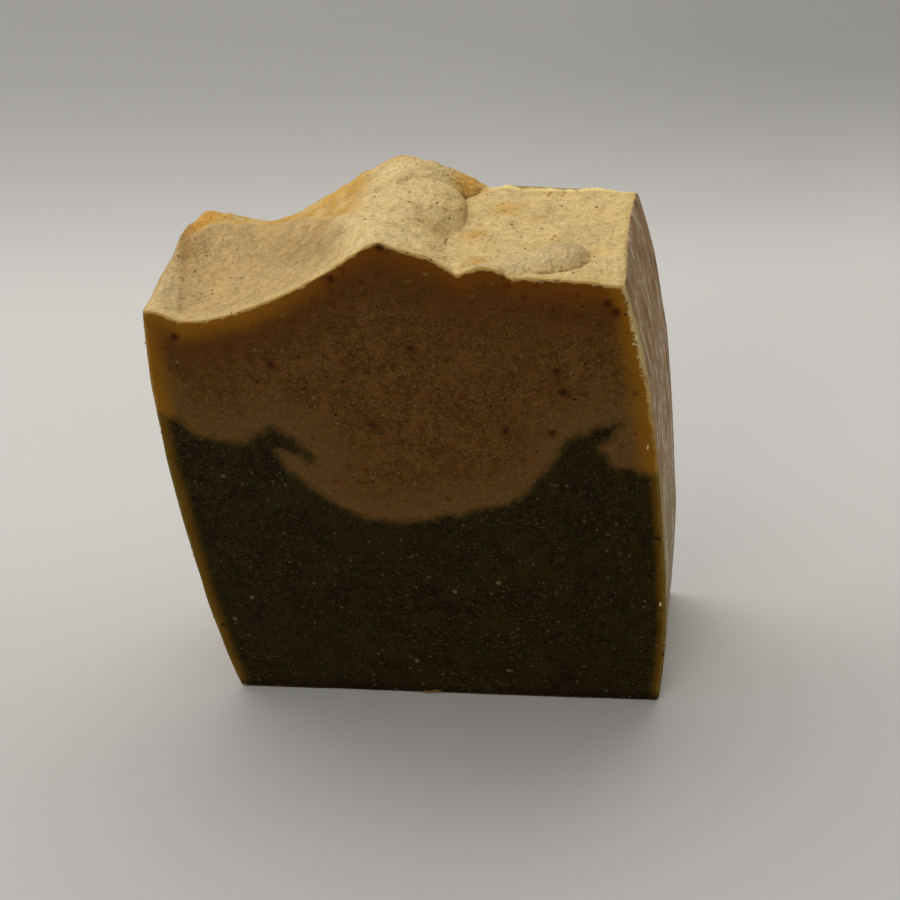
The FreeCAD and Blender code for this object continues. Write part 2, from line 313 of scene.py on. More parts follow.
def lip_at(y):
    """Height of the left rim, X of the side there, and the lip's width, which is least at LIP_PLACE."""
    rim = SHOULDER_HEIGHT + CREST_RISE * glide(LEFT_RIM, y / HALF_THICKNESS)
    side = SIDE_LEAN * rim - half_width(rim)
    away = y - LIP_PLACE
    width = LIP_WIDTH + np.maximum(away * LIP_BACK_SPREAD, -away * LIP_FRONT_SPREAD)
    return rim, side, width


def left_lip(x, y, top):
    """Top height eased up to the left rim, with a thin line pressed in where the lip begins."""
    rim, side, width = lip_at(y)
    line = LIP_CREASE_DEPTH * np.exp(-np.abs(x - side - width) / LIP_CREASE_WIDTH)
    return mix(top, rim, ease((side + width - x) / width)) - line


def right_rim(x, y, top):
    """Top height eased to the right rim over the last few millimetres."""
    rim = SHOULDER_HEIGHT + CREST_RISE * glide(RIGHT_RIM, y / HALF_THICKNESS)
    side = SIDE_LEAN * rim + half_width(rim)
    return mix(top, rim, ease((x - side + RIM_REACH) / RIM_REACH))


def knife_burr(x, y):
    """Thin flap that the knife left along the right half of the back edge."""
    start = ease((x - crease_at(HALF_THICKNESS)) / BURR_START)
    end = ease((HALF_WIDTH - BURR_GAP - x) / BURR_FADE)
    return BURR_RISE * start * end * np.exp(-(HALF_THICKNESS - y) / BURR_WIDTH)


def top_height(x, y):
    """Height of the swirled top: the poured surface plus lobe and finger, less folds and two shallow
    hollows, one right of the lobe and one under the brow, with the rims."""
    hollow = HOLLOW_DEPTH * bell(np.hypot(x - HOLLOW_PLACE[0], y - HOLLOW_PLACE[1]) / HOLLOW_RADIUS)
    bowl = BOWL_DEPTH * ease((BOWL_RIGHT - x) / BOWL_FADE) * ease((y + HALF_THICKNESS) / BOWL_FRONT)
    hollow = hollow + bowl * bell((y - brow_at(x) + BOWL_PLACE) / BOWL_WIDTH)
    height = poured_top(x, y) + folded_lobe(x, y) - back_fold(x, y) + roll(x, y) - hollow
    return right_rim(x, y, left_lip(x, y, height)) + knife_burr(x, y)


sample_x, sample_y = np.meshgrid(np.linspace(-37, 36, 74), np.linspace(-15, 15, 31))
print("top runs from", np.round(top_height(sample_x, sample_y).min(), 2), "to",
      np.round(top_height(sample_x, sample_y).max(), 2), "mm")

# %% [markdown]
# ## Wrinkles in the top
# As the soft top was pushed about, its skin wrinkled in a few places: in an arc over the lobe, round
# the finger and along the rims. Each wrinkle is a bent line, and the skin dips by a hump's shape of the
# distance from it. They are too fine for the solid, so they are only made here.

# %% Wrinkles
WRINKLES = [                # depth, width and route, in mm
    (0.70, 0.80, [(-3.4, 5.0), (-0.3, 6.2), (1.3, 8.1), (3.3, 8.9), (5.9, 9.5), (8.0, 9.6)]),
    (0.50, 0.50, [(-4.2, -4.0), (-3.6, 1.3), (-3.2, 4.6)]),
    (0.20, 0.30, [(1.3, 8.1), (3.3, 8.9), (5.9, 9.5)]),
    (0.50, 0.40, [(8.0, 12.4), (8.8, 11.0), (9.3, 9.8)]),
    (0.15, 0.40, [(3.1, 5.7), (5.6, 7.1), (7.8, 6.4)]),
    (0.40, 0.45, [(19.0, -15.0), (22.8, -13.6), (26.9, -12.3), (29.5, -10.6), (30.6, -8.3), (30.2, -6.3)]),
    (0.15, 0.25, [(24.0, -14.4), (28.0, -14.3), (32.0, -14.1), (35.5, -14.2)]),
    (0.12, 0.40, [(17.8, 10.8), (19.7, 7.1), (21.3, 6.1), (23.3, 6.9)]),
    (0.12, 0.35, [(35.9, -14.4), (35.6, -6.0), (35.3, 3.0), (35.0, 12.4)]),
    (0.15, 0.40, [(-33.7, -12.7), (-35.4, -10.8), (-35.6, -8.8)]),
]
WRINKLE_WANDER, WRINKLE_CELL = 0.3, 2.5     # how far a wrinkle strays from its route, and how quickly


def beside_route(x, y, route):
    """Distance from a bent line, less its radius where its places carry one: for each stretch, the
    distance from the nearest place on it, and the least of those."""
    nearest = np.full_like(x, np.inf)
    for (x0, y0, *r0), (x1, y1, *r1) in zip(route[:-1], route[1:]):
        run_x, run_y = x1 - x0, y1 - y0
        share = np.clip(((x - x0) * run_x + (y - y0) * run_y) / (run_x ** 2 + run_y ** 2), 0, 1)
        radius = mix(*r0, *r1, share) if r0 else 0
        nearest = np.minimum(nearest, np.hypot(x - x0 - share * run_x, y - y0 - share * run_y) - radius)
    return nearest


def wrinkled_top(x, y):
    """The top's height less all wrinkles, each strayed a little by noise."""
    flat = np.stack([x, y, np.zeros_like(x)], -1)
    x1, y1 = (at + WRINKLE_WANDER * uneven(flat, WRINKLE_CELL, seed) for at, seed in ((x, 70), (y, 71)))
    height = top_height(x, y)
    for depth, width, route in WRINKLES:
        height = height - depth * bell(beside_route(x1, y1, route) / width)
    return height


print("depth of the arc over the lobe, in mm:", np.round(top_height(3.3, 8.9) - wrinkled_top(3.3, 8.9), 2))

# %% [markdown]
# ## A box of grid lines
# The slice is a box with one wavy face, so its skin is the six faces of a block of grid lines. A grid
# point on an edge belongs to both faces there, and is numbered once, so the skin is closed from the
# start. The grid lines bunch up at the edges, to round them, and at the crease, where the lobe drops
# steeply.

# %% Grid
ACROSS_CELLS, DEEP_CELLS, HIGH_CELLS = 216, 80, 94
EDGE_BAND, EDGE_CELLS = 0.6, 3


def graded(cells, length):
    """Places from 0 to 1: a few small steps inside the edge band at both ends, even steps between."""
    band = EDGE_BAND / length
    end = np.linspace(0, band, EDGE_CELLS + 1)
    middle = np.linspace(band, 1 - band, cells - 2 * EDGE_CELLS + 1)
    return np.concatenate([end[:-1], middle, 1 - end[:-1][::-1]])


def block_skin(across, deep, high_up):
    """Grid coordinates of the points on a block's six faces, and the four corners of each cell.
    Every point on the skin has one number, so neighbouring faces share their edge points."""
    shape = (across + 1, deep + 1, high_up + 1)
    i, j, k = np.indices(shape)
    on_skin = (i % across == 0) | (j % deep == 0) | (k % high_up == 0)
    number = np.full(shape, -1)
    number[on_skin] = np.arange(on_skin.sum())

    def cells(face, outward):
        quad = np.stack([face[:-1, :-1], face[1:, :-1], face[1:, 1:], face[:-1, 1:]], -1).reshape(-1, 4)
        return quad if outward else quad[:, ::-1]

    faces = [cells(number[0], False), cells(number[-1], True), cells(number[:, 0], True),
             cells(number[:, -1], False), cells(number[:, :, 0], False), cells(number[:, :, -1], True)]
    return np.stack([i, j, k], -1)[on_skin], faces


grid_place, grid_faces = block_skin(ACROSS_CELLS, DEEP_CELLS, HIGH_CELLS)
print("points:", len(grid_place), "cells:", sum(map(len, grid_faces)))

# %% [markdown]
# ## From block to bar
# Each grid point gets its place in three moves. The first puts it on the raw slice, sharp edges and
# all. The second rounds the corners of the mould's section, and the third rounds the cut edges. Both
# roundings use one idea: near an edge, the square corner is squeezed onto a quarter circle. The lobe's
# steep side then leans out a little over its crease.

# %% Raw slice
STEEP_SIDE = 1.3            # width of the lobe's steep side, which gets close grid lines
PAST_CREASE = 0.9
TOP_PASSES = 4              # the side's place depends on the top's height there, so both are found by turns


def top_x(share, y):
    """X on the top for a share of the grid: straight stretches between the sides, the crest, the
    steep side and the crease, each with its own number of grid lines."""
    crest, crease = crest_at(y), crease_at(y)
    side = half_width(SHOULDER_HEIGHT)
    knots = [(0.0, -side), (0.42, crest), (0.54, crease - STEEP_SIDE), (0.62, crease),
             (0.65, crease + PAST_CREASE), (1.0, side)]
    x = 0
    for (s0, x0), (s1, x1) in zip(knots[:-1], knots[1:]):
        x = np.where((share >= s0) & (share <= s1), mix(x0, x1, (share - s0) / (s1 - s0)), x)
    return x / side


def raw_slice(across, deep, up):
    """Sharp-edged slice. The depth is even. The height is a share of the top's, and the sideways
    place is a share of the section's half width there, even at the base and bunched at the top."""
    y = -HALF_THICKNESS + BAR_THICKNESS * deep
    share_top = top_x(across, y)
    top = np.full_like(y, SHOULDER_HEIGHT)
    for _ in range(TOP_PASSES):
        top = wrinkled_top(SIDE_LEAN * top + share_top * half_width(top), y)
    z = top * up
    share = mix(2 * across - 1, share_top, up ** 3)
    return np.stack([SIDE_LEAN * z + share * half_width(z), y, z], -1), top


def rounded(near_a, near_b, radius):
    """How far to pull a point back from two faces that meet. near_a and near_b are its distances
    from them. Inside the radius the square corner is squeezed onto a quarter circle."""
    a, b = np.maximum(radius - near_a, 0), np.maximum(radius - near_b, 0)
    squeeze = 1 - np.maximum(a, b) / np.maximum(np.hypot(a, b), 1e-9)
    return a * squeeze, b * squeeze


# %% Shape the bar
FOOT_ROUND, RIM_ROUND, CUT_ROUND = 0.7, 0.5, 0.35
CUT_WEAR, WEAR_CELL = 0.6, 4.0  # how much the rounding of the cut edges varies, as a share, and how quickly
OVERHANG, OVERHANG_PLACE, OVERHANG_WIDTH = 0.25, 0.93, 0.07


def overhang(x, y):
    """How far the lobe's steep side leans out over the crease: a narrow hump just before it."""
    along, swell = lobe_place(x, y)
    return OVERHANG * swell * bell((along - OVERHANG_PLACE) / OVERHANG_WIDTH) * (along < 1)


def shape_bar():
    """Places of all grid points in mm, and how far each lies from the edges of the raw slice."""
    lines = [graded(ACROSS_CELLS, 2 * half_width(SHOULDER_HEIGHT)), graded(DEEP_CELLS, BAR_THICKNESS),
             graded(HIGH_CELLS, SHOULDER_HEIGHT)]
    across, deep, up = (line[grid_place[:, axis]] for axis, line in enumerate(lines))
    place, top = raw_slice(across, deep, up)
    x, y, z = place.T
    outward = np.sign(x - SIDE_LEAN * z)
    near = {"side": half_width(z) - np.abs(x - SIDE_LEAN * z), "base": z, "top": top - z,
            "cut": HALF_THICKNESS - np.abs(y)}
    foot_side, foot_base = rounded(near["side"], near["base"], FOOT_ROUND)
    rim_side, rim_top = rounded(near["side"], near["top"], RIM_ROUND)
    ring = np.minimum(np.minimum(near["side"], near["base"]), near["top"])
    wear = CUT_ROUND * (1 + CUT_WEAR * uneven(place, WEAR_CELL, seed=1))
    ring_pull, cut_pull = rounded(ring, near["cut"], wear)
    pull = {name: ring_pull * (ring == near[name]) for name in ("side", "base", "top")}
    moved_x = x - outward * (foot_side + rim_side + pull["side"]) + overhang(x, y) * (up == 1)
    moved_z = z + foot_base - rim_top + pull["base"] - pull["top"]
    return np.stack([moved_x, y - np.sign(y) * cut_pull, moved_z], -1), near


bar_points, near = shape_bar()
print("bar, in mm:", np.round(bar_points.min(0), 2), np.round(bar_points.max(0), 2))

# %% [markdown]
# ## Small unevenness
# The open top dried lumpy, the mould's walls left faint upright ripples, and the knife dragged a little
# and left waves and chips in the edges. Each of these moves the skin along its own normal by a fraction
# of a millimetre, so it is in the mesh and shows in the outline too. What is finer than the grid is left
# to the finishes.

# %% Skin normals and ripples
SKIN_DEPTH = 0.6            # how far past an edge a face's own unevenness is felt
TOP_LUMPS = [(6.0, 0.22), (2.6, 0.13), (1.1, 0.08)]
EDGE_WAVES, EDGE_REACH = [(2.6, 0.24), (1.0, 0.16)], 1.8
WALL_RIPPLES = [((9.0, 2.2, 14.0), 0.07), ((9.0, 5.0, 7.0), 0.12)]
KNIFE_DRAG = [((14.0, 30.0, 5.0), 0.05), ((3.0, 30.0, 1.6), 0.02)]
CHIP_CELL, CHIP_DEPTH, CHIP_START = 1.3, 0.16, 0.35


def skin_normals(points, quads):
    """Normal of each point: the sum of the cross products of its cells' diagonals, made one long."""
    corners = points[quads]
    facing = np.cross(corners[:, 2] - corners[:, 0], corners[:, 3] - corners[:, 1])
    total = np.zeros_like(points)
    for corner in range(4):
        np.add.at(total, quads[:, corner], facing)
    return total / np.linalg.norm(total, axis=1, keepdims=True)


def layered(points, layers, seed):
    """Sum of value noises, each with its own cell and height."""
    return sum(height * uneven(points, cell, seed + n) for n, (cell, height) in enumerate(layers))


def ripple_skin(points, quads, near):
    """Moves the skin along its normals: lumps on top, ripples on the walls, drag on the cuts, waves in
    the top's cut edges, and small chips taken out where a cut face meets another face."""
    on_top, on_side, on_cut = (ease(1 - near[name] / SKIN_DEPTH) for name in ("top", "side", "cut"))
    height = on_top * layered(points, TOP_LUMPS, 10) + on_side * layered(points, WALL_RIPPLES, 20)
    height = height + on_cut * layered(points, KNIFE_DRAG, 30)
    height = height + on_top * ease(1 - near["cut"] / EDGE_REACH) * layered(points, EDGE_WAVES, 50)
    chips = np.maximum(uneven(points, CHIP_CELL, 40) - CHIP_START, 0) * CHIP_DEPTH / (1 - CHIP_START)
    edge = on_cut * np.maximum(on_side, np.maximum(on_top, ease(1 - near["base"] / SKIN_DEPTH)))
    height = (height - chips * edge) * ease(near["base"] / SKIN_DEPTH)
    return points + skin_normals(points, quads) * height[:, None]


bar_quads = np.concatenate(grid_faces)
bar_points = ripple_skin(bar_points, bar_quads, near)
print("rippled bar, in mm:", np.round(bar_points.min(0), 2), np.round(bar_points.max(0), 2))

# %% [markdown]
# ## Where the two pours meet
# The brown soap was poured onto the dark soap while both were still soft, so it sank in and left a wide
# bowl with a curled tongue on the left and a peak on the right. The meeting surface is kept as one
# number for each point: about how many millimetres it lies above the line, and less than zero in the
# dark soap. Towards the back cut the line slides and dips, so the back isn't a copy of the front.

# %% Pours
POUR_LINE = [
    (-40, 58.5), (-36.9, 57.2), (-33.8, 54.2), (-29, 53.0), (-25, 53.0), (-22.5, 51.5), (-19.5, 47.2),
    (-13, 40.9), (-9, 38.5), (-4, 37.4), (1.4, 37.8), (7.5, 39.1), (13, 40.5), (17.6, 42.7), (21, 46.2),
    (24, 50.0), (27, 52.6), (30.5, 52.6), (32.6, 49.0), (35, 47.8), (40, 47.3),
]
LEFT_TONGUE = [(-24.0, 52.4, 2.2), (-21.3, 53.5, 2.2), (-18.0, 51.7, 1.6), (-15.2, 49.6, 0.6)]
RIGHT_PEAK = [(27.5, 51.4, 2.4), (31.0, 54.0, 1.5), (33.6, 55.8, 0.6), (36.0, 57.2, -0.8)]
POUR_SLIDE, SLIDE_LENGTH, SLIDE_START = 5.0, 13.0, 2.2
POUR_DIP, DIP_LENGTH = 3.5, 9.0


def above_pour(points):
    """Height over the meeting line, divided by its slope's slant to make it a distance. The tongue and
    the peak are joined to the dark soap by taking the least distance, and the peak thins out towards
    the back."""
    x, y, z = points.T
    deep = depth_share(y)
    x = x + deep * POUR_SLIDE * np.sin(x / SLIDE_LENGTH + SLIDE_START)
    z = z + deep * POUR_DIP * np.cos(x / DIP_LENGTH)
    step = 0.5
    line = glide(POUR_LINE, x)
    slope = (glide(POUR_LINE, x + step) - line) / step
    over = (z - line) / np.sqrt(1 + slope ** 2)
    tongue, peak = beside_route(x, z, LEFT_TONGUE), beside_route(x, z, RIGHT_PEAK) + deep
    return np.minimum(over, np.minimum(tongue, peak))


pour = above_pour(bar_points)
print("share of the skin in the dark pour:", round(float((pour < 0).mean()), 3))

# %% Parts of the top that show in the colour
FOLD_REACH = 0.7
LIP_FADE, LIP_LINE_WIDTH = 0.8, 0.35
BOWL_LEFT, BOWL_SHADE_WIDTH = -32.0, 5.0
FLANK_DEPTH_FADE, FLANK_RIGHT, FLANK_SIDE_FADE = 3.0, -3.0, 6.0
FINGER_FULL_RISE = 0.9


def fold_depth(points):
    """How far the top lies under the mean of eight places round it, in mm: more than zero in a crease
    and less than zero on a ridge."""
    x, y = points[:, 0], points[:, 1]
    around = 0
    for turn in np.arange(8) * math.pi / 4:
        around = around + wrinkled_top(x + FOLD_REACH * math.cos(turn), y + FOLD_REACH * math.sin(turn)) / 8
    return around - wrinkled_top(x, y)


def lip_share(x, y):
    """1 on the left lip's inner face and 0 beyond its crease."""
    side, width = lip_at(y)[1:]
    return ease((side + width - x) / LIP_FADE + 0.5)


def lip_line(x, y):
    """1 on the crease of the left lip, falling off within half a millimetre on both sides."""
    side, width = lip_at(y)[1:]
    return bell((x - side - width) / LIP_LINE_WIDTH)


def bowl_shade_share(x, y):
    """Share of painted shade: 1 in the deepest band of the left scoop, under the brow, and 0 towards the
    left side.
    """
    ends = ease((BOWL_RIGHT - x) / BOWL_FADE) * ease((x - BOWL_LEFT) / BOWL_FADE)
    return ends * bell((y - brow_at(x) + BOWL_PLACE) / BOWL_SHADE_WIDTH)


def flank_share(x, y):
    """1 on the flank between the brow and the back cut, left of the crest."""
    return ease((y - brow_at(x)) / FLANK_DEPTH_FADE) * ease((FLANK_RIGHT - x) / FLANK_SIDE_FADE)


def finger_share(x, y):
    """1 on the finger and 0 off it, from the height that it adds."""
    return ease(roll(x, y) / FINGER_FULL_RISE)


# The fold depth only serves to paint shade into the creases of the top
fold = np.where(near["top"] < SKIN_DEPTH, fold_depth(bar_points), 0.0)
parts_of_top = {"lip": lip_share, "lip_line": lip_line, "bowl": bowl_shade_share, "flank": flank_share,
                "finger": finger_share}
parts_of_top = {name: share(bar_points[:, 0], bar_points[:, 1]) for name, share in parts_of_top.items()}
print("deepest fold against its surroundings, in mm:", round(float(fold.max()), 2))

# %% Make the mesh
def mesh_piece(name, points, quads, slots, facts=None):
    """A smooth mesh object at the origin, from places in mm, cell corners, a finish number for each
    cell and named numbers for each point."""
    mesh = bpy.data.meshes.new(name)
    mesh.vertices.add(len(points))
    mesh.vertices.foreach_set("co", (points * MM).astype(np.float32).ravel())
    mesh.loops.add(quads.size)
    mesh.loops.foreach_set("vertex_index", quads.ravel().astype(np.int32))
    mesh.polygons.add(len(quads))
    mesh.polygons.foreach_set("loop_start", np.arange(0, quads.size, quads.shape[1], dtype=np.int32))
    mesh.polygons.foreach_set("material_index", np.asarray(slots, np.int32))
    for fact, values in (facts or {}).items():
        mesh.attributes.new(fact, "FLOAT", "POINT").data.foreach_set("value", values.astype(np.float32))
    mesh.update(calc_edges=True)
    mesh.validate()
    mesh.shade_smooth()
    piece = bpy.data.objects.new(name, mesh)
    bpy.context.collection.objects.link(piece)
    return piece


CUT, WALL, TOP = 0, 1, 2
face_slots = np.concatenate([np.full(len(face), slot) for face, slot in
                             zip(grid_faces, (WALL, WALL, CUT, CUT, WALL, TOP))])
bar = mesh_piece("soap_slice", bar_points, bar_quads, face_slots,
                 {"near_side": near["side"], "near_top": near["top"], "near_base": near["base"],
                  "near_cut": near["cut"], "pour": pour, "fold": fold, **parts_of_top})
print("bar mesh:", len(bar.data.vertices), "points,", 2 * len(bar.data.polygons), "triangles")

# %% [markdown]
# ## Writing a finish as arithmetic
# A finish is a network of nodes. Wired by hand it soon turns into a web that nobody can read, so here a
# socket is wrapped in a small class that knows plus, minus and times: `1 - mask` adds a Math node, and
# a whole finish reads as a few lines of sums. Colours go through Mix and Vector Math nodes, because a
# Math node would turn them grey. Every pattern is placed in millimetres on the object itself, so it
# stays put from every side.

# %% Node arithmetic
def shade(red, green, blue):
    """Picker numbers from 0 to 255 as linear light: the steep part of the screen's curve undone."""
    linear = [((part / 255 + 0.055) / 1.055) ** 2.4 for part in (red, green, blue)]
    return (*linear, 1.0)


class Wire:
    """One output socket of a finish. Each operator adds the Math node that works it out."""

    def __init__(self, finish, socket):
        self.finish, self.socket = finish, socket

    def __add__(self, other):
        return self.finish.math("ADD", self, other)

    def __sub__(self, other):
        return self.finish.math("SUBTRACT", self, other)

    def __rsub__(self, other):
        return self.finish.math("SUBTRACT", other, self)

    def __mul__(self, other):
        return self.finish.math("MULTIPLY", self, other)

    __radd__, __rmul__ = __add__, __mul__


class Bench:
    """A node network, with one way to feed sockets and one way to add any node."""

    def __init__(self, tree):
        self.nodes, self.links = tree.nodes, tree.links

    def feed(self, node, values):
        """Gives sockets a number, or a link where the value is a wire."""
        for name, value in values.items():
            if isinstance(value, Wire):
                self.links.new(value.socket, node.inputs[name])
            else:
                node.inputs[name].default_value = value

    def node(self, kind, settings, values, output=0):
        """Adds a node, first its settings and then its sockets, and returns one output."""
        node = self.nodes.new(kind)
        for name, value in settings.items():
            setattr(node, name, value)
        self.feed(node, values)
        return Wire(self, node.outputs[output])

    def math(self, operation, a, b):
        """Adds the Math node that works out an operation on two numbers or wires."""
        return self.node("ShaderNodeMath", {"operation": operation}, {0: a, 1: b})


print("mid grey as linear light:", np.round(shade(128, 128, 128)[0], 3))

# %% Patterns that every finish uses
class Finish(Bench):
    """One material: its shader with the constant numbers, and patterns placed in mm on the object."""

    def __init__(self, name, roughness, specular):
        self.material = bpy.data.materials.new(name)
        self.material.use_nodes = True
        super().__init__(self.material.node_tree)
        self.shader = self.nodes["Principled BSDF"]
        self.feed(self.shader, {"Roughness": roughness, "Specular IOR Level": specular})
        place = self.node("ShaderNodeTexCoord", {}, {}, "Object")
        self.place = self.node("ShaderNodeVectorMath", {"operation": "SCALE"}, {0: place, "Scale": 1 / MM})

    def axis(self, name):
        """One coordinate of the place, in mm."""
        return self.node("ShaderNodeSeparateXYZ", {}, {0: self.place}, name)

    def fact(self, name):
        """A number that the mesh carries at each point."""
        return self.node("ShaderNodeAttribute", {"attribute_name": name}, {}, "Fac")

    def step(self, value, start, end):
        """Smooth step from 0 at start to 1 at end. With start past end it runs the other way."""
        return self.node("ShaderNodeMapRange", {"interpolation_type": "SMOOTHSTEP"},
                         {"Value": value, "From Min": start, "From Max": end})

    def blend(self, share, a, b):
        """Mix of two colours: a at share 0 and b at share 1."""
        return self.node("ShaderNodeMix", {"data_type": "RGBA"}, {0: share, 6: a, 7: b}, 2)

    def toned(self, colour, factor):
        """A colour made lighter or darker by a factor."""
        return self.node("ShaderNodeVectorMath", {"operation": "SCALE"}, {0: colour, "Scale": factor})

    def moved(self, size, seed):
        """The place divided by a size, one for each axis, and shifted by a seed."""
        size = (size, size, size) if np.isscalar(size) else size
        scaled = self.node("ShaderNodeVectorMath", {"operation": "MULTIPLY"},
                           {0: self.place, 1: [1 / part for part in size]})
        return self.node("ShaderNodeVectorMath", {"operation": "ADD"}, {0: scaled, 1: (seed, 2 * seed, 0)})

    def cloud(self, size, seed, detail=2.0):
        """Cloudy noise about 0, mostly within a quarter of 0 on both sides."""
        noise = self.node("ShaderNodeTexNoise", {}, {"Vector": self.moved(size, seed), "Scale": 1.0,
                                                     "Detail": detail}, "Fac")
        return noise - 0.5

    def specks(self, size, radius, share, seed):
        """Dots in a share of the cells of a random grid: 1 inside the radius, eased to 0 outside."""
        cell = {"Vector": self.moved(size, seed), "Scale": 1.0}
        away = self.node("ShaderNodeTexVoronoi", {}, cell, "Distance") * size
        chance = self.node("ShaderNodeSeparateColor", {},
                           {0: self.node("ShaderNodeTexVoronoi", {}, cell, "Color")}, "Red")
        ragged = away + self.cloud(radius * 1.5, seed + 3) * radius
        return self.step(ragged, radius, radius * 0.5) * self.step(chance, share, share * 0.9)

    def spot(self, centre, radius, raggedness=0.5):
        """A soft-edged round patch at a place: 1 at its centre and 0 at its radius."""
        ends = {0: self.place, 1: centre}
        away = self.node("ShaderNodeVectorMath", {"operation": "DISTANCE"}, ends, "Value")
        return self.step(away + self.cloud(radius * 0.6, centre[0]) * radius * raggedness, radius, 0)

    def finished(self, colour, height_mm):
        """Joins the colour and the bump, whose height is in mm, to the shader."""
        bump = self.node("ShaderNodeBump", {}, {"Strength": 1.0, "Distance": MM, "Height": height_mm})
        self.feed(self.shader, {"Base Color": colour, "Normal": bump})
        print(self.material.name, "has", len(self.nodes), "nodes")
        return self.material


print("patterns and steps of a finish:", [name for name in vars(Finish) if not name.startswith("_")])

# %% [markdown]
# ## The cut faces
# A fresh cut shows the soap's inside. Both pours are full of ground herbs: dark and rust red specks in
# the brown one, pale ones in the dark one. Round the outside a rim of a few millimetres is painted
# amber, wide on the brown soap and narrow on the dark: painted glow of light shining through the
# translucent soap near its edges, with a pale painted highlight on the outer line. The rim follows the
# distance from the sides and the top that each point carries, and the pours follow their own number.

# %% Pours on the cut faces
BROWN, BROWN_DEEP, BROWN_RED = shade(82, 55, 20), shade(56, 36, 9), shade(86, 46, 13)
BROWN_PALE, BROWN_LOW = shade(106, 84, 48), shade(82, 60, 28)
DARK, DARK_DEEP = shade(36, 27, 3), shade(17, 12, 1)
DARK_GREEN, DARK_PALE = shade(31, 30, 6), shade(56, 48, 24)
MEETING = 1.2               # half the width over which one pour turns into the other


def pour_colours(finish, above):
    """The two pours, each mottled between a light and a deep tone, with a fine grain of two more. The
    brown one is paler just above the dark one."""
    patch, mottle = finish.cloud(5.0, 1), finish.cloud(1.3, 5, detail=3)
    grain = finish.cloud(0.45, 7, detail=3)
    tone = patch * 0.35 + mottle * 0.5 + grain * 0.9
    brown = finish.blend(finish.step(tone, 0.22, -0.22), BROWN, BROWN_DEEP)
    brown = finish.blend(finish.step(finish.fact("pour") + mottle * 8, 9, 1) * 0.6, brown, BROWN_LOW)
    brown = finish.blend(finish.step(mottle - grain * 0.6, 0.05, 0.3) * 0.6, brown, BROWN_RED)
    brown = finish.blend(finish.step(grain - mottle * 0.4, 0.08, 0.34) * 0.45, brown, BROWN_PALE)
    dark = finish.blend(finish.step(tone, 0.2, -0.2), DARK, DARK_DEEP)
    dark = finish.blend(finish.step(finish.cloud(6.0, 9) - grain, 0.0, 0.3) * 0.4, dark, DARK_GREEN)
    dark = finish.blend(finish.step(grain - mottle * 0.4, 0.08, 0.34) * 0.6, dark, DARK_PALE)
    return finish.blend(above, dark, brown)


print("brown and dark pour as linear light:", np.round(BROWN[:3], 4), np.round(DARK[:3], 4))

# %% Amber rim of the cut faces: painted glow and highlight
# Amber rim colours: painted glow of light through the soap near its edges; outer line colours: painted
# highlight
RIM_BROWN_GLOW, RIM_OUTER_HIGHLIGHT, RIM_TOP = shade(108, 68, 8), shade(146, 116, 60), shade(92, 50, 3)
RIM_DEEP = shade(66, 36, 5)
RIM_TOP_LEFT_GLOW, RIM_DARK_GLOW, SKIN_EDGE = shade(116, 72, 8), shade(82, 55, 5), shade(168, 136, 76)
RIM_LOW_HIGHLIGHT, CREAM_EDGE = shade(98, 86, 40), shade(172, 154, 104)
BASE_BAND, BASE_LINE = shade(18, 11, 2), shade(52, 46, 24)
RIM_WANDER, RIM_FRAY = 2.4, 0.8
# Where a rim starts and where it is full, in mm from the side, the top or the base
DEEP_RIM, TOP_RIM, WIDE_GLOW_RIM, NARROW_GLOW_RIM = (14.0, 3.0), (5.4, 0.4), (4.4, 0.6), (2.8, 0.4)
OUTER_HIGHLIGHT_LINE, CREAM_FLAKES = (0.8, 0.2), (1.0, 0.3)
POWDER_RIM, POWDER_LINE = (0.75, 0.2), (0.45, 0.25)
BASE_RIM, BASE_WORN = (2.6, 0.6), (0.5, 0.25)


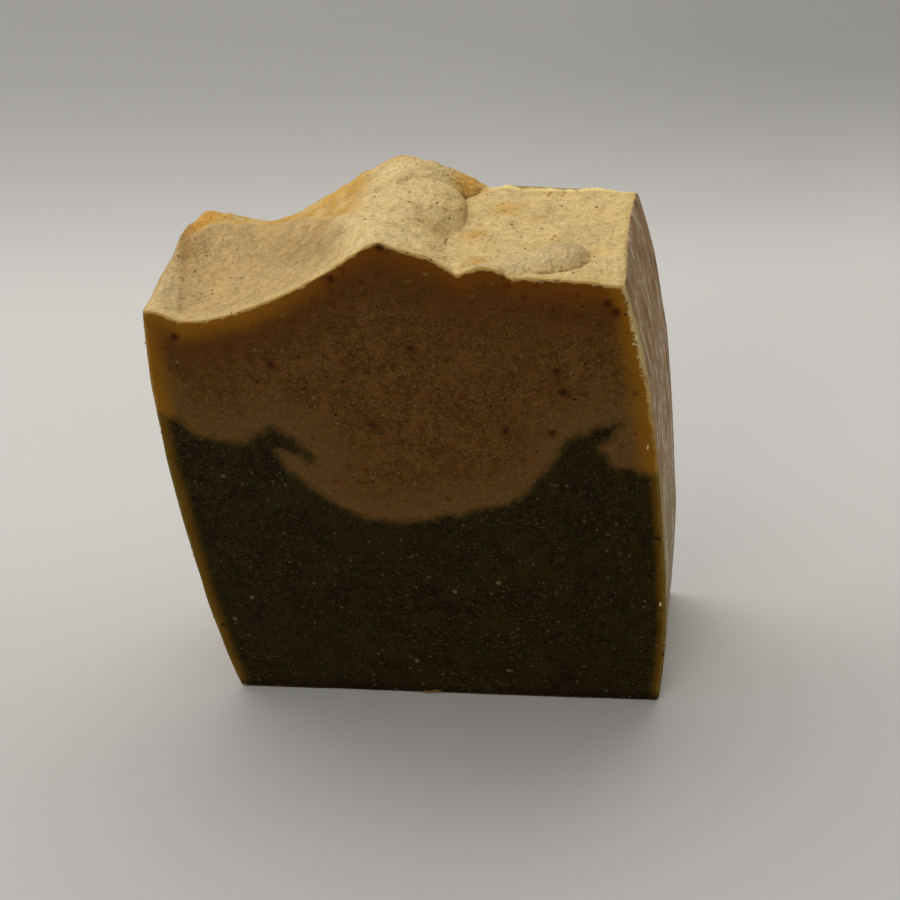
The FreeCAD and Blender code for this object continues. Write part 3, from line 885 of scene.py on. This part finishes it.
def rim_with_painted_glow(finish, colour, above):
    """Rim colours laid over the pours by distance from the sides, the top and the base: a darker band
    under the top, a painted amber glow near the top and the sides, a pale painted highlight on the outer
    line, a pale skin line at the top, and a dark band and a thin line at the base. High on the right the
    outer line has cream flakes."""
    wander, fray = finish.cloud(7.0, 4) * RIM_WANDER, finish.cloud(1.2, 3) * RIM_FRAY
    side, top, base = (finish.fact("near_" + name) for name in ("side", "top", "base"))
    across = finish.axis("X")
    colour = finish.blend(finish.step(top + wander, *DEEP_RIM) * 0.75, colour, RIM_DEEP)
    # The top rim turns amber towards the left: painted glow
    top_rim = finish.blend(finish.step(across, -4, -24), RIM_TOP, RIM_TOP_LEFT_GLOW)
    colour = finish.blend(finish.step(top + wander, *TOP_RIM) * 0.85, colour, top_rim)
    # Painted glow near the sides: wide in the brown pour, narrow in the dark one
    colour = finish.blend(finish.step(side + wander, *WIDE_GLOW_RIM) * above, colour, RIM_BROWN_GLOW)
    thinner_right = side * (finish.step(across, 20, 30) * 0.35 + 1)
    narrow = finish.step(thinner_right + wander * 0.4, *NARROW_GLOW_RIM)
    colour = finish.blend(narrow * (1 - above), colour, RIM_DARK_GLOW)
    # Pale outer line along the side edge: painted highlight
    outer = finish.blend(above, RIM_LOW_HIGHLIGHT, RIM_OUTER_HIGHLIGHT)
    colour = finish.blend(finish.step(side + fray, *OUTER_HIGHLIGHT_LINE) * 0.6, colour, outer)
    flakes = finish.step(side + fray * 1.5 + finish.cloud(0.5, 12) * 1.6, *CREAM_FLAKES)
    high_right = finish.step(finish.axis("Z"), 50, 72) * finish.step(across, 30, 34)
    colour = finish.blend(flakes * high_right * 0.7, colour, CREAM_EDGE)
    colour = finish.blend(finish.step(top + fray * 1.5, *POWDER_RIM) * 0.85, colour, SKIN_EDGE)
    colour = finish.blend(finish.step(top, *POWDER_LINE), colour, SKIN_EDGE)
    colour = finish.blend(finish.step(base + wander * 0.3, *BASE_RIM) * 0.8, colour, BASE_BAND)
    return finish.blend(finish.step(base + fray * 0.3, *BASE_WORN), colour, BASE_LINE)


print("width of the amber rim, in mm: wide", WIDE_GLOW_RIM[0], "and narrow", NARROW_GLOW_RIM[0])

# %% Herb specks of the cut faces
RUST, CHAR, PALE, HERB = shade(66, 26, 4), shade(30, 12, 2), shade(112, 86, 50), shade(84, 76, 52)
CUT_HERBS = [               # cell, radius, share of the cells, depth, colour, pour it lies in
    (2.6, 0.75, 0.35, 0.55, RUST, "brown"), (1.2, 0.24, 0.30, 0.8, RUST, "brown"),
    (2.1, 0.30, 0.22, 0.9, CHAR, "brown"), (4.4, 0.55, 0.22, 0.8, CHAR, "both"),
    (0.9, 0.21, 0.25, 0.25, PALE, "brown"), (2.7, 0.36, 0.30, 0.35, PALE, "brown"),
    (0.9, 0.23, 0.50, 0.3, HERB, "dark"), (1.8, 0.36, 0.40, 0.4, HERB, "dark"),
    (4.0, 0.55, 0.25, 0.65, HERB, "dark"), (2.4, 0.60, 0.35, 0.8, DARK_DEEP, "dark"),
]
LARGEST_HERBS = [
    (1.2, 86.6), (-7.2, 81.7), (-19.2, 67.2), (25.2, 65.5), (26.0, 61.7), (16.6, 55.0), (23.7, 54.6),
    (33.6, 76.7), (34.7, 75.2), (-34.0, 72.4), (3.4, 69.8), (-4.6, 56.3),
]
LARGEST_RADIUS, HALO_RADIUS = 0.95, 1.8


def herbs_in_cut(finish, colour, above):
    """Specks in layers, and the few largest ones of the front face by place."""
    pours = {"brown": above, "dark": 1 - above, "both": 1.0}
    for seed, (size, radius, share, depth, herb, pour_name) in enumerate(CUT_HERBS):
        dots = finish.specks(size, radius, share, 11 + seed) * depth
        colour = finish.blend(dots * pours[pour_name], colour, herb)
    for x, z in LARGEST_HERBS:
        place = (x, -HALF_THICKNESS, z)
        colour = finish.blend(finish.spot(place, HALO_RADIUS, 1.2) * 0.6, colour, RUST)
        colour = finish.blend(finish.spot(place, LARGEST_RADIUS, 1.5) * 0.9, colour, CHAR)
    return colour


def cut_finish():
    """Cut faces: the pours, the rim and the herbs, with fine pores and faint lines from the knife."""
    finish = Finish("cut_soap", roughness=0.6, specular=0.03)
    ragged = finish.fact("pour") + finish.cloud(1.1, 6) * 1.6 + finish.cloud(3.5, 10) * 2.4
    above = finish.step(ragged, -MEETING, MEETING)
    colour = herbs_in_cut(finish, rim_with_painted_glow(finish, pour_colours(finish, above), above), above)
    pores = finish.specks(1.3, 0.3, 0.4, 41) * -0.07 + finish.cloud(0.7, 42) * 0.12
    lines = finish.cloud((40.0, 40.0, 0.5), 43, detail=1) * 0.03
    scuffed_patch = finish.step(finish.cloud(9.0, 45), 0.02, 0.2)
    scuffs = finish.step(finish.cloud((1.6, 1.6, 0.25), 44), 0.12, 0.22) * scuffed_patch
    colour = finish.blend(scuffs * 0.35, colour, PALE)
    return finish.finished(colour, pores + lines)


bar.data.materials.append(cut_finish())

# %% [markdown]
# ## The moulded sides and base
# Where the soap sat against the mould it has a dull skin, brown with pale ash. The ash lies in blotches
# that are taller than they are wide, because the loaf was drawn upwards out of its mould. Along both cut
# edges a thin amber line is painted, the glow of light through the translucent edge, with a pale painted
# highlight on the edge itself.

# %% Skin of the sides and the base
WALL_UPPER, WALL_MIDDLE, WALL_LOWER = shade(152, 118, 78), shade(158, 130, 94), shade(144, 130, 98)
WALL_DARK, WALL_ASH, WALL_RUST = shade(98, 72, 44), shade(214, 200, 172), shade(166, 112, 62)
FRINGE_GLOW, CREAM_HIGHLIGHT, BASE_SKIN = shade(128, 92, 34), shade(190, 170, 124), shade(96, 84, 60)


def wall_finish():
    """Moulded skin: colour by height, dark and ashy blotches, small pits, and at the cuts a thin line of
    painted amber glow and a painted highlight.
    """
    finish = Finish("moulded_skin", roughness=0.7, specular=0.15)
    height, cut = finish.axis("Z"), finish.fact("near_cut")
    ragged = cut + finish.cloud((1.2, 1.2, 2.0), 31) * 1.6
    blotches = finish.cloud((3.0, 2.4, 6.0), 32, detail=4)
    fine = finish.cloud((1.0, 0.8, 1.5), 33, detail=4)
    colour = finish.blend(finish.step(height, 30, 62), WALL_MIDDLE, WALL_UPPER)
    colour = finish.blend(finish.step(height + blotches * 30, 44, 20), colour, WALL_LOWER)
    colour = finish.blend(finish.step(blotches + fine * 0.9, -0.05, 0.3) * 0.8, colour, WALL_DARK)
    ash = finish.step(fine - blotches * 0.8, -0.06, 0.3) * finish.step(height, 150, 30)
    colour = finish.blend(ash * 0.8, colour, WALL_ASH)
    tall = finish.cloud((6.0, 4.0, 12.0), 37, detail=4)
    colour = finish.blend(finish.step(tall + fine * 0.5, 0.0, 0.3) * 0.6, colour, WALL_ASH)
    colour = finish.blend(finish.step(finish.cloud(5.0, 34), 0.05, 0.25) * 0.4, colour, WALL_RUST)
    # Painted glow of light through the thin edge, then a painted highlight on the edge itself
    colour = finish.blend(finish.step(ragged, 1.5, 0.6) * 0.8, colour, FRINGE_GLOW)
    colour = finish.blend(finish.step(ragged, 0.7, 0.2) * finish.step(height, 10, 60) * 0.9, colour, CREAM_HIGHLIGHT)
    colour = finish.blend(finish.step(finish.fact("near_base"), 0.8, 0.1), colour, BASE_SKIN)
    colour = finish.blend(finish.specks(1.7, 0.25, 0.25, 35), colour, WALL_DARK)
    pits = finish.specks(2.0, 0.4, 0.3, 36) * -0.12
    return finish.finished(colour, blotches * 0.15 + fine * 0.18 + pits)


bar.data.materials.append(wall_finish())

# %% [markdown]
# ## The open top
# The top was poured from a paler batch and left in the open, where a thin cream-coloured ash grew on it.
# It is deepest where the soap lies flat, and thin on the steep flank of the crest and at the back left
# corner, where orange soap shows through. The ash is one powder of uneven depth, so its grain turns
# every colour a little lighter or darker, which looks softer than flecks of a second colour. Fine dark
# herbs lie all over it.

# %% Skin of the top
TOP_FLAT, TOP_LUMP, TOP_SCOOP = shade(214, 184, 124), shade(216, 188, 131), shade(192, 160, 107)
TOP_BOWL_SHADE, TOP_LIP_PAINTED_LIGHT, TOP_FLAP_AND_GLOW = shade(172, 142, 92), shade(222, 196, 142), shade(236, 212, 140)
TOP_ORANGE, TOP_GRAIN = shade(206, 158, 74), shade(162, 130, 80)
TOP_CORNER, TOP_EDGE, TOP_CRACK_AND_SHADE = shade(206, 150, 66), shade(196, 164, 100), shade(134, 100, 58)
TOP_FLANK, TOP_FINGER, TOP_ORANGE_AND_PAINTED_LIGHT = shade(196, 151, 66), shade(202, 176, 130), shade(236, 184, 88)
TOP_STAIN, TOP_HERB, TOP_RUST = shade(150, 108, 60), shade(96, 62, 34), shade(150, 84, 42)
FLANK_PATCHES = [           # place, radius
    ((-24.0, 14.0, 79.0), 5.0), ((-12.0, 14.0, 83.0), 6.0), ((16.0, 7.0, 82.0), 3.5),
    ((12.5, -2.0, 82.0), 3.0), ((14.5, -11.0, 82.0), 2.5), ((-2.0, 15.0, 88.0), 4.0),
    ((8.0, 15.0, 84.0), 5.0),
]
# Orange soap behind the lobe, made brighter with painted light where the slope lies in shade
ORANGE_AND_LIGHT_PATCH = ((9.8, 13.8, 84.5), 4.0)
STAINS = [                  # place, radius, depth
    ((-13.0, 0.5, 83.0), 3.6, 0.35), ((2.4, -8.0, 87.5), 1.6, 0.7), ((8.6, 9.5, 84.0), 1.5, 0.8),
    ((-36.0, 2.0, 79.0), 2.6, 0.35), ((-31.0, -2.0, 77.0), 2.2, 0.25), ((22.0, 5.0, 81.5), 1.8, 0.3),
]
TOP_HERBS = [               # cell, radius, share of the cells, depth, colour
    (1.0, 0.18, 0.40, 0.7, TOP_HERB), (2.0, 0.28, 0.40, 0.85, TOP_HERB), (4.2, 0.42, 0.45, 0.9, TOP_HERB),
    (2.4, 0.50, 0.35, 0.5, TOP_RUST),
]


def top_colours(finish, grain, fine):
    """Base colours by place: lump, flat, scoop, flank, lip and finger, and orange where the ash is thin,
    with painted shade in the band under the brow and painted light on the lip and behind the lobe.
    """
    across, deep = finish.axis("X") + finish.cloud(6.0, 41) * 10, finish.axis("Y")
    colour = finish.blend(finish.step(across, 2, 12), TOP_LUMP, TOP_FLAT)
    in_scoop = finish.step(across, -4, -14) * finish.step(deep + grain * 8, -17, -12)
    colour = finish.blend(in_scoop * (1 - finish.fact("flank")), colour, TOP_SCOOP)
    # Painted shade in the band under the brow, where the scoop faces away from the lamp
    colour = finish.blend(finish.fact("bowl") * 0.85, colour, TOP_BOWL_SHADE)
    mottled = finish.step(fine * 2 + grain * 3 + finish.cloud(3.0, 53) * 3, -1.1, 0.6)
    colour = finish.blend(finish.fact("flank") * mottled, colour, TOP_FLANK)
    thin_ash = finish.step(finish.cloud(4.0, 43) + fine * 0.5, 0.0, 0.3)
    colour = finish.blend(thin_ash * 0.3, colour, TOP_ORANGE)
    for centre, radius in FLANK_PATCHES:
        colour = finish.blend(finish.spot(centre, radius) * 0.85, colour, TOP_ORANGE)
    # Orange soap with painted light behind the lobe
    colour = finish.blend(finish.spot(*ORANGE_AND_LIGHT_PATCH), colour, TOP_ORANGE_AND_PAINTED_LIGHT)
    colour = finish.blend(finish.fact("lip") * finish.step(deep, 0, 8), colour, TOP_CORNER)
    # Painted light on the front of the left lip's inner slope, which faces away from the lamp
    colour = finish.blend(finish.fact("lip") * finish.step(deep, 2, -6) * 0.5, colour, TOP_LIP_PAINTED_LIGHT)
    return finish.blend(finish.fact("finger") * 0.6, colour, TOP_FINGER)


def top_lines(finish, colour, grain, fine):
    """Darker lines and stains: the crack and the outline of the left lip, the stains, and painted shade in
    the folds.
    """
    cracked = finish.step(grain + fine, -0.15, 0.15) * finish.step(finish.axis("Y"), 4, -6)
    colour = finish.blend(finish.fact("lip_line") * cracked * 0.9, colour, TOP_CRACK_AND_SHADE)
    outline = finish.fact("lip") * finish.step(finish.fact("near_side") + fine * 0.6, 0.6, 0.2)
    colour = finish.blend(outline * 0.6, colour, TOP_CRACK_AND_SHADE)
    for centre, radius, depth in STAINS:
        colour = finish.blend(finish.spot(centre, radius) * depth, colour, TOP_STAIN)
    # Painted shade in the creases, where the top lies deeper than its surroundings
    folded = finish.step(finish.fact("fold") + fine * 0.06, 0.14, 0.45)
    return finish.blend(folded * 0.6, colour, TOP_CRACK_AND_SHADE)


def top_edges(finish, colour, fine):
    """Worn edges along the cuts and sides, and the pale flap at the right of the back cut, brightened with
    painted glow of light through it.
    """
    near_cut, near_side = finish.fact("near_cut"), finish.fact("near_side")
    cut_edge = finish.step(near_cut + fine, 0.9, 0.2)
    side_edge = finish.step(near_side + fine, 1.2, 0.2)
    colour = finish.blend(finish.math("MAXIMUM", cut_edge, side_edge) * 0.6, colour, TOP_EDGE)
    # Pale flap along the back cut, with painted glow of light shining through its thin edge
    flap = finish.step(near_cut, 1.3, 0.5) * finish.step(finish.axis("Y"), 13, 14)
    return finish.blend(flap * finish.step(finish.axis("X"), 10, 14), colour, TOP_FLAP_AND_GLOW)


def top_finish():
    """Open top: base colours by place, fibres, the powder's grain, lines, edges and fine herbs."""
    finish = Finish("poured_top", roughness=0.75, specular=0.15)
    grain, fine = finish.cloud(1.6, 48, detail=4), finish.cloud(0.6, 50, detail=2)
    fibres = finish.cloud((1.8, 0.8, 1.2), 49, detail=3)
    colour = top_colours(finish, grain, fine)
    colour = finish.blend(finish.step(fibres - fine * 0.8, 0.04, 0.32) * 0.35, colour, TOP_GRAIN)
    colour = finish.toned(colour, fine * 0.65 + grain * 0.6 + finish.cloud(3.5, 52) * 0.4 + 0.98)
    colour = top_edges(finish, top_lines(finish, colour, grain, fine), fine)
    for seed, (size, radius, share, depth, herb) in enumerate(TOP_HERBS):
        colour = finish.blend(finish.specks(size, radius, share, 44 + seed) * depth, colour, herb)
    pores = finish.specks(1.5, 0.3, 0.3, 57) * -0.12
    return finish.finished(colour, grain * 0.5 + fine * 0.35 + fibres * 0.1 + pores)


bar.data.materials.append(top_finish())
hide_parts("soap_bar")
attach(bar, "root")

# %% [markdown]
# ## Crumbs left by the knife
# Cutting soap leaves crumbs that stick to the edges. Each is a block of grid points pressed onto a ball,
# so it has no poles, and then flattened and made lumpy. The larger ones sit where the real slice has
# them, and small ones are strewn along the cut edges.

# %% Crumbs
CRUMB_CELLS = 6
FRONT_Y, PROUD_Y = -HALF_THICKNESS, -HALF_THICKNESS - 0.1
NAMED_CRUMBS = [            # place, half sizes, paleness
    ((37.5, PROUD_Y, 71.3), (0.22, 0.16, 0.8), 0.8), ((37.2, PROUD_Y, 70.0), (0.4, 0.15, 0.2), 0.6),
    ((38.9, FRONT_Y, 21.4), (0.2, 0.2, 0.45), 0.9), ((-2.4, PROUD_Y, 0.5), (1.6, 0.25, 0.2), 0.0),
    ((-1.0, PROUD_Y, 0.7), (0.7, 0.25, 0.25), 0.0), ((-37.0, FRONT_Y, 0.5), (0.4, 0.25, 0.2), 0.1),
    ((4.6, FRONT_Y, 81.0), (0.8, 0.12, 0.18), 0.0), ((7.4, FRONT_Y, 82.1), (0.5, 0.12, 0.25), 0.0),
    ((24.2, FRONT_Y, 80.4), (0.5, 0.15, 0.18), 0.2), ((39.6, 14.8, 47.5), (0.2, 0.25, 0.4), 0.5),
    ((39.7, 14.9, 43.5), (0.2, 0.25, 0.25), 0.5), ((38.2, FRONT_Y, 52.0), (0.15, 0.12, 0.35), 0.7),
]
STREWN, STREWN_SINK = 44, 0.1
STREWN_HEIGHT, STREWN_SIZE, STREWN_PALENESS = (2.0, SHOULDER_HEIGHT - 3), (0.05, 0.17), (0.2, 1.0)
CRUMB_LUMPS = [(0.8, 0.5), (0.35, 0.3)]     # cell and height, as shares of a crumb
CRUMB_SEED, CRUMB_APART = 5, 7.3            # each crumb takes its lumps from its own stretch of the noise


def strewn_crumbs(rng):
    """Random places up both sides along the cut edges, on either cut."""
    cut, side = rng.choice([-1, 1], (2, STREWN))
    z = rng.uniform(*STREWN_HEIGHT, STREWN)
    x = side * (half_width(z) - STREWN_SINK) + SIDE_LEAN * z
    size = rng.uniform(*STREWN_SIZE, (STREWN, 3))
    place = np.stack([x, cut * (HALF_THICKNESS - STREWN_SINK), z], -1)
    return place, size, rng.uniform(*STREWN_PALENESS, STREWN)


def crumb_points():
    """All crumbs at once: unit balls from the block's skin, made lumpy, sized and put in place."""
    block, faces = block_skin(CRUMB_CELLS, CRUMB_CELLS, CRUMB_CELLS)
    ball = block / CRUMB_CELLS * 2.0 - 1
    ball = ball / np.linalg.norm(ball, axis=1, keepdims=True)
    named = [np.array(column, float) for column in zip(*NAMED_CRUMBS)]
    strewn = strewn_crumbs(np.random.default_rng(CRUMB_SEED))
    centre, size, pale = (np.concatenate(pair) for pair in zip(named, strewn))
    own = ball[None] + np.arange(len(centre))[:, None, None] * CRUMB_APART
    lumps = 1 + layered(own, CRUMB_LUMPS, 60)
    points = centre[:, None] + ball[None] * lumps[..., None] * size[:, None]
    quads = np.concatenate(faces)[None] + (np.arange(len(centre)) * len(ball))[:, None, None]
    points[..., 2] = np.maximum(points[..., 2], 0.0)
    return points.reshape(-1, 3), quads.reshape(-1, 4), np.repeat(pale, len(ball))


places, cells, paleness = crumb_points()
crumbs = mesh_piece("knife_crumbs", places, cells, np.zeros(len(cells)), {"pale": paleness})
print("crumbs:", len(NAMED_CRUMBS) + STREWN, "with", 2 * len(cells), "triangles")

# %% Finish of the crumbs
CRUMB_AMBER, CRUMB_CREAM, CRUMB_DARK = shade(98, 70, 28), shade(196, 176, 130), shade(76, 54, 26)


def crumb_finish():
    """Dry crumbs: amber to cream by the paleness that each carries, with darker hollows."""
    finish = Finish("dry_crumb", roughness=0.8, specular=0.04)
    colour = finish.blend(finish.fact("pale"), CRUMB_AMBER, CRUMB_CREAM)
    grain = finish.cloud(0.3, 51)
    colour = finish.blend(finish.step(grain, 0.02, 0.25) * 0.5, colour, CRUMB_DARK)
    return finish.finished(colour, grain * 0.2)


crumbs.data.materials.append(crumb_finish())
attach(crumbs, "root")

# %% [markdown]
# ## The table and the light
# A small thing is easiest to judge on a sheet of paper that curves up behind it. A large soft lamp hangs
# over the slice and a little behind it, so the folded top is bright and the front is in soft shade. A
# second one stands low in front, further off, like a window, and keeps the dark cut face readable. The
# world adds the even light that a white room would throw back.

# %% Paper sweep
SWEEP_WIDTH, SWEEP_FRONT, SWEEP_FLAT, SWEEP_RADIUS, SWEEP_TOP = 3000.0, 2500.0, 150.0, 200.0, 900.0
SWEEP_COLUMNS, SWEEP_ROWS = 13, 97
VIEW_YAW = math.radians(14.714)
PAPER, PAPER_FIBRE = shade(211, 208, 203), shade(213, 210, 205)
PAPER_BACK_SHADE, PAPER_FRONT_SHADE = shade(153, 151, 147), shade(200, 197, 192)
SHADE_SLANT, BACK_SHADE_SPAN, FRONT_SHADE_SPAN = 0.11, (130, 270), (60, -20)


def sweep_points():
    """Sheet whose profile runs flat, turns up on a quarter circle and then stands straight. It faces
    the camera, so it is turned by the camera's yaw."""
    curve = math.pi / 2 * SWEEP_RADIUS
    bend = np.linspace(SWEEP_FLAT, SWEEP_FLAT + curve, SWEEP_ROWS - 2)
    length = np.concatenate([[-SWEEP_FRONT], bend, [SWEEP_FLAT + curve + SWEEP_TOP]])
    turn = np.clip((length - SWEEP_FLAT) / SWEEP_RADIUS, 0, math.pi / 2)
    straight = np.maximum(length - SWEEP_FLAT - curve, 0)
    back = np.minimum(length, SWEEP_FLAT) + SWEEP_RADIUS * np.sin(turn)
    up = SWEEP_RADIUS * (1 - np.cos(turn)) + straight
    aside, back = np.meshgrid(np.linspace(-SWEEP_WIDTH / 2, SWEEP_WIDTH / 2, SWEEP_COLUMNS), back)
    x = aside * math.cos(VIEW_YAW) - back * math.sin(VIEW_YAW)
    y = aside * math.sin(VIEW_YAW) + back * math.cos(VIEW_YAW)
    up = np.broadcast_to(up[:, None], x.shape)
    number = np.arange(x.size).reshape(x.shape)
    quads = np.stack([number[:-1, :-1], number[:-1, 1:], number[1:, 1:], number[1:, :-1]], -1)
    return np.stack([x, y, up], -1).reshape(-1, 3), quads.reshape(-1, 4)


def paper_finish():
    """Matt paper: pale and a little warm, with painted shade towards the back and in front, and a faint
    fibre.
    """
    finish = Finish("paper", roughness=0.9, specular=0.1)
    fibre = finish.cloud(0.8, 61)
    colour = finish.blend(finish.step(fibre, -0.3, 0.3), PAPER, PAPER_FIBRE)
    # Painted shade: the paper turns greyer towards the back and in front, as if less lit there
    back = finish.axis("Y") - finish.axis("X") * SHADE_SLANT
    colour = finish.blend(finish.step(back, *BACK_SHADE_SPAN), colour, PAPER_BACK_SHADE)
    colour = finish.blend(finish.step(back, *FRONT_SHADE_SPAN), colour, PAPER_FRONT_SHADE)
    return finish.finished(colour, fibre * 0.02)


paper_places, paper_cells = sweep_points()
paper = mesh_piece("paper_sweep", paper_places, paper_cells, np.zeros(len(paper_cells)))
paper.data.materials.append(paper_finish())
print("paper sweep, in mm:", np.round(paper_places.min(0)), np.round(paper_places.max(0)))

# %% Lamp and world
LAMP_PLACE, LAMP_SIZE, LAMP_WATTS = (-0.07, 0.22, 0.52), (0.8, 0.35), 2.6
FILL_PLACE, FILL_SIZE, FILL_WATTS = (-0.35, -0.9, 0.18), (0.6, 0.3), 4.4
LAMP_AIM = (0.0, 0.0, 0.05)
ROOM_WHITE, WORLD_LEVEL, PALE_LEVEL = shade(252, 251, 250), 0.42, 0.62  # light thrown, and seen directly


def soft_lamp(name, place, size, watts):
    """Lamp with a rectangular face, aimed at the slice."""
    light = bpy.data.lights.new(name, "AREA")
    light.shape, light.energy = "RECTANGLE", watts
    light.size, light.size_y = size
    lamp = bpy.data.objects.new(name, light)
    lamp.location = place
    lamp.rotation_euler = (Vector(LAMP_AIM) - Vector(place)).to_track_quat("-Z", "Y").to_euler()
    bpy.context.collection.objects.link(lamp)


soft_lamp("ceiling_lamp", LAMP_PLACE, LAMP_SIZE, LAMP_WATTS)
soft_lamp("window_fill", FILL_PLACE, FILL_SIZE, FILL_WATTS)
world = bpy.data.worlds.new("white_room")
world.use_nodes = True
room = Bench(world.node_tree)
camera_ray, glossy_ray, clear_ray = (room.node("ShaderNodeLightPath", {}, {}, "Is " + ray + " Ray")
                                     for ray in ("Camera", "Glossy", "Transmission"))
seen_directly = room.math("MAXIMUM", room.math("MAXIMUM", camera_ray, glossy_ray), clear_ray)
strength = seen_directly * (PALE_LEVEL - WORLD_LEVEL) + WORLD_LEVEL
room.feed(room.nodes["Background"], {"Color": ROOM_WHITE, "Strength": strength})
bpy.context.scene.world = world
bpy.context.scene.view_settings.view_transform = "Standard"

# %% [markdown]
# ## The camera
# The view was found by solving for a camera that puts the slice's corners where they are seen. It looks
# down by about a third of a right angle, from a little to the right, and was held with a slight roll.

# %% Camera
CAMERA_PLACE = (0.0561, -0.2007, 0.1732)
PITCH, ROLL = math.radians(32.37), math.radians(8.0)
FRAME_PIXELS, FOCAL_PIXELS, SENSOR_MM = 900, 1449.18, 36.0


def camera_turn():
    """Turn of the camera: its right, up and backward directions are worked out with no yaw, rolled
    about the line of sight and then turned by the yaw."""
    right, up = Vector((1, 0, 0)), Vector((0, math.sin(PITCH), math.cos(PITCH)))
    ahead = Vector((0, math.cos(PITCH), -math.sin(PITCH)))
    rolled_right = math.cos(ROLL) * right - math.sin(ROLL) * up
    rolled_up = math.sin(ROLL) * right + math.cos(ROLL) * up
    turn = Matrix([rolled_right, rolled_up, -ahead]).transposed()
    return Matrix.Rotation(VIEW_YAW, 3, "Z") @ turn


camera_data = bpy.data.cameras.new("photo_view")
camera_data.sensor_width = SENSOR_MM
camera_data.lens = SENSOR_MM * FOCAL_PIXELS / FRAME_PIXELS
camera = bpy.data.objects.new("photo_view", camera_data)
camera.matrix_world = Matrix.Translation(CAMERA_PLACE) @ camera_turn().to_4x4()
bpy.context.collection.objects.link(camera)
bpy.context.scene.camera = camera
print("camera lens, in mm:", round(camera_data.lens, 2))

# %% [markdown]
# ## The end
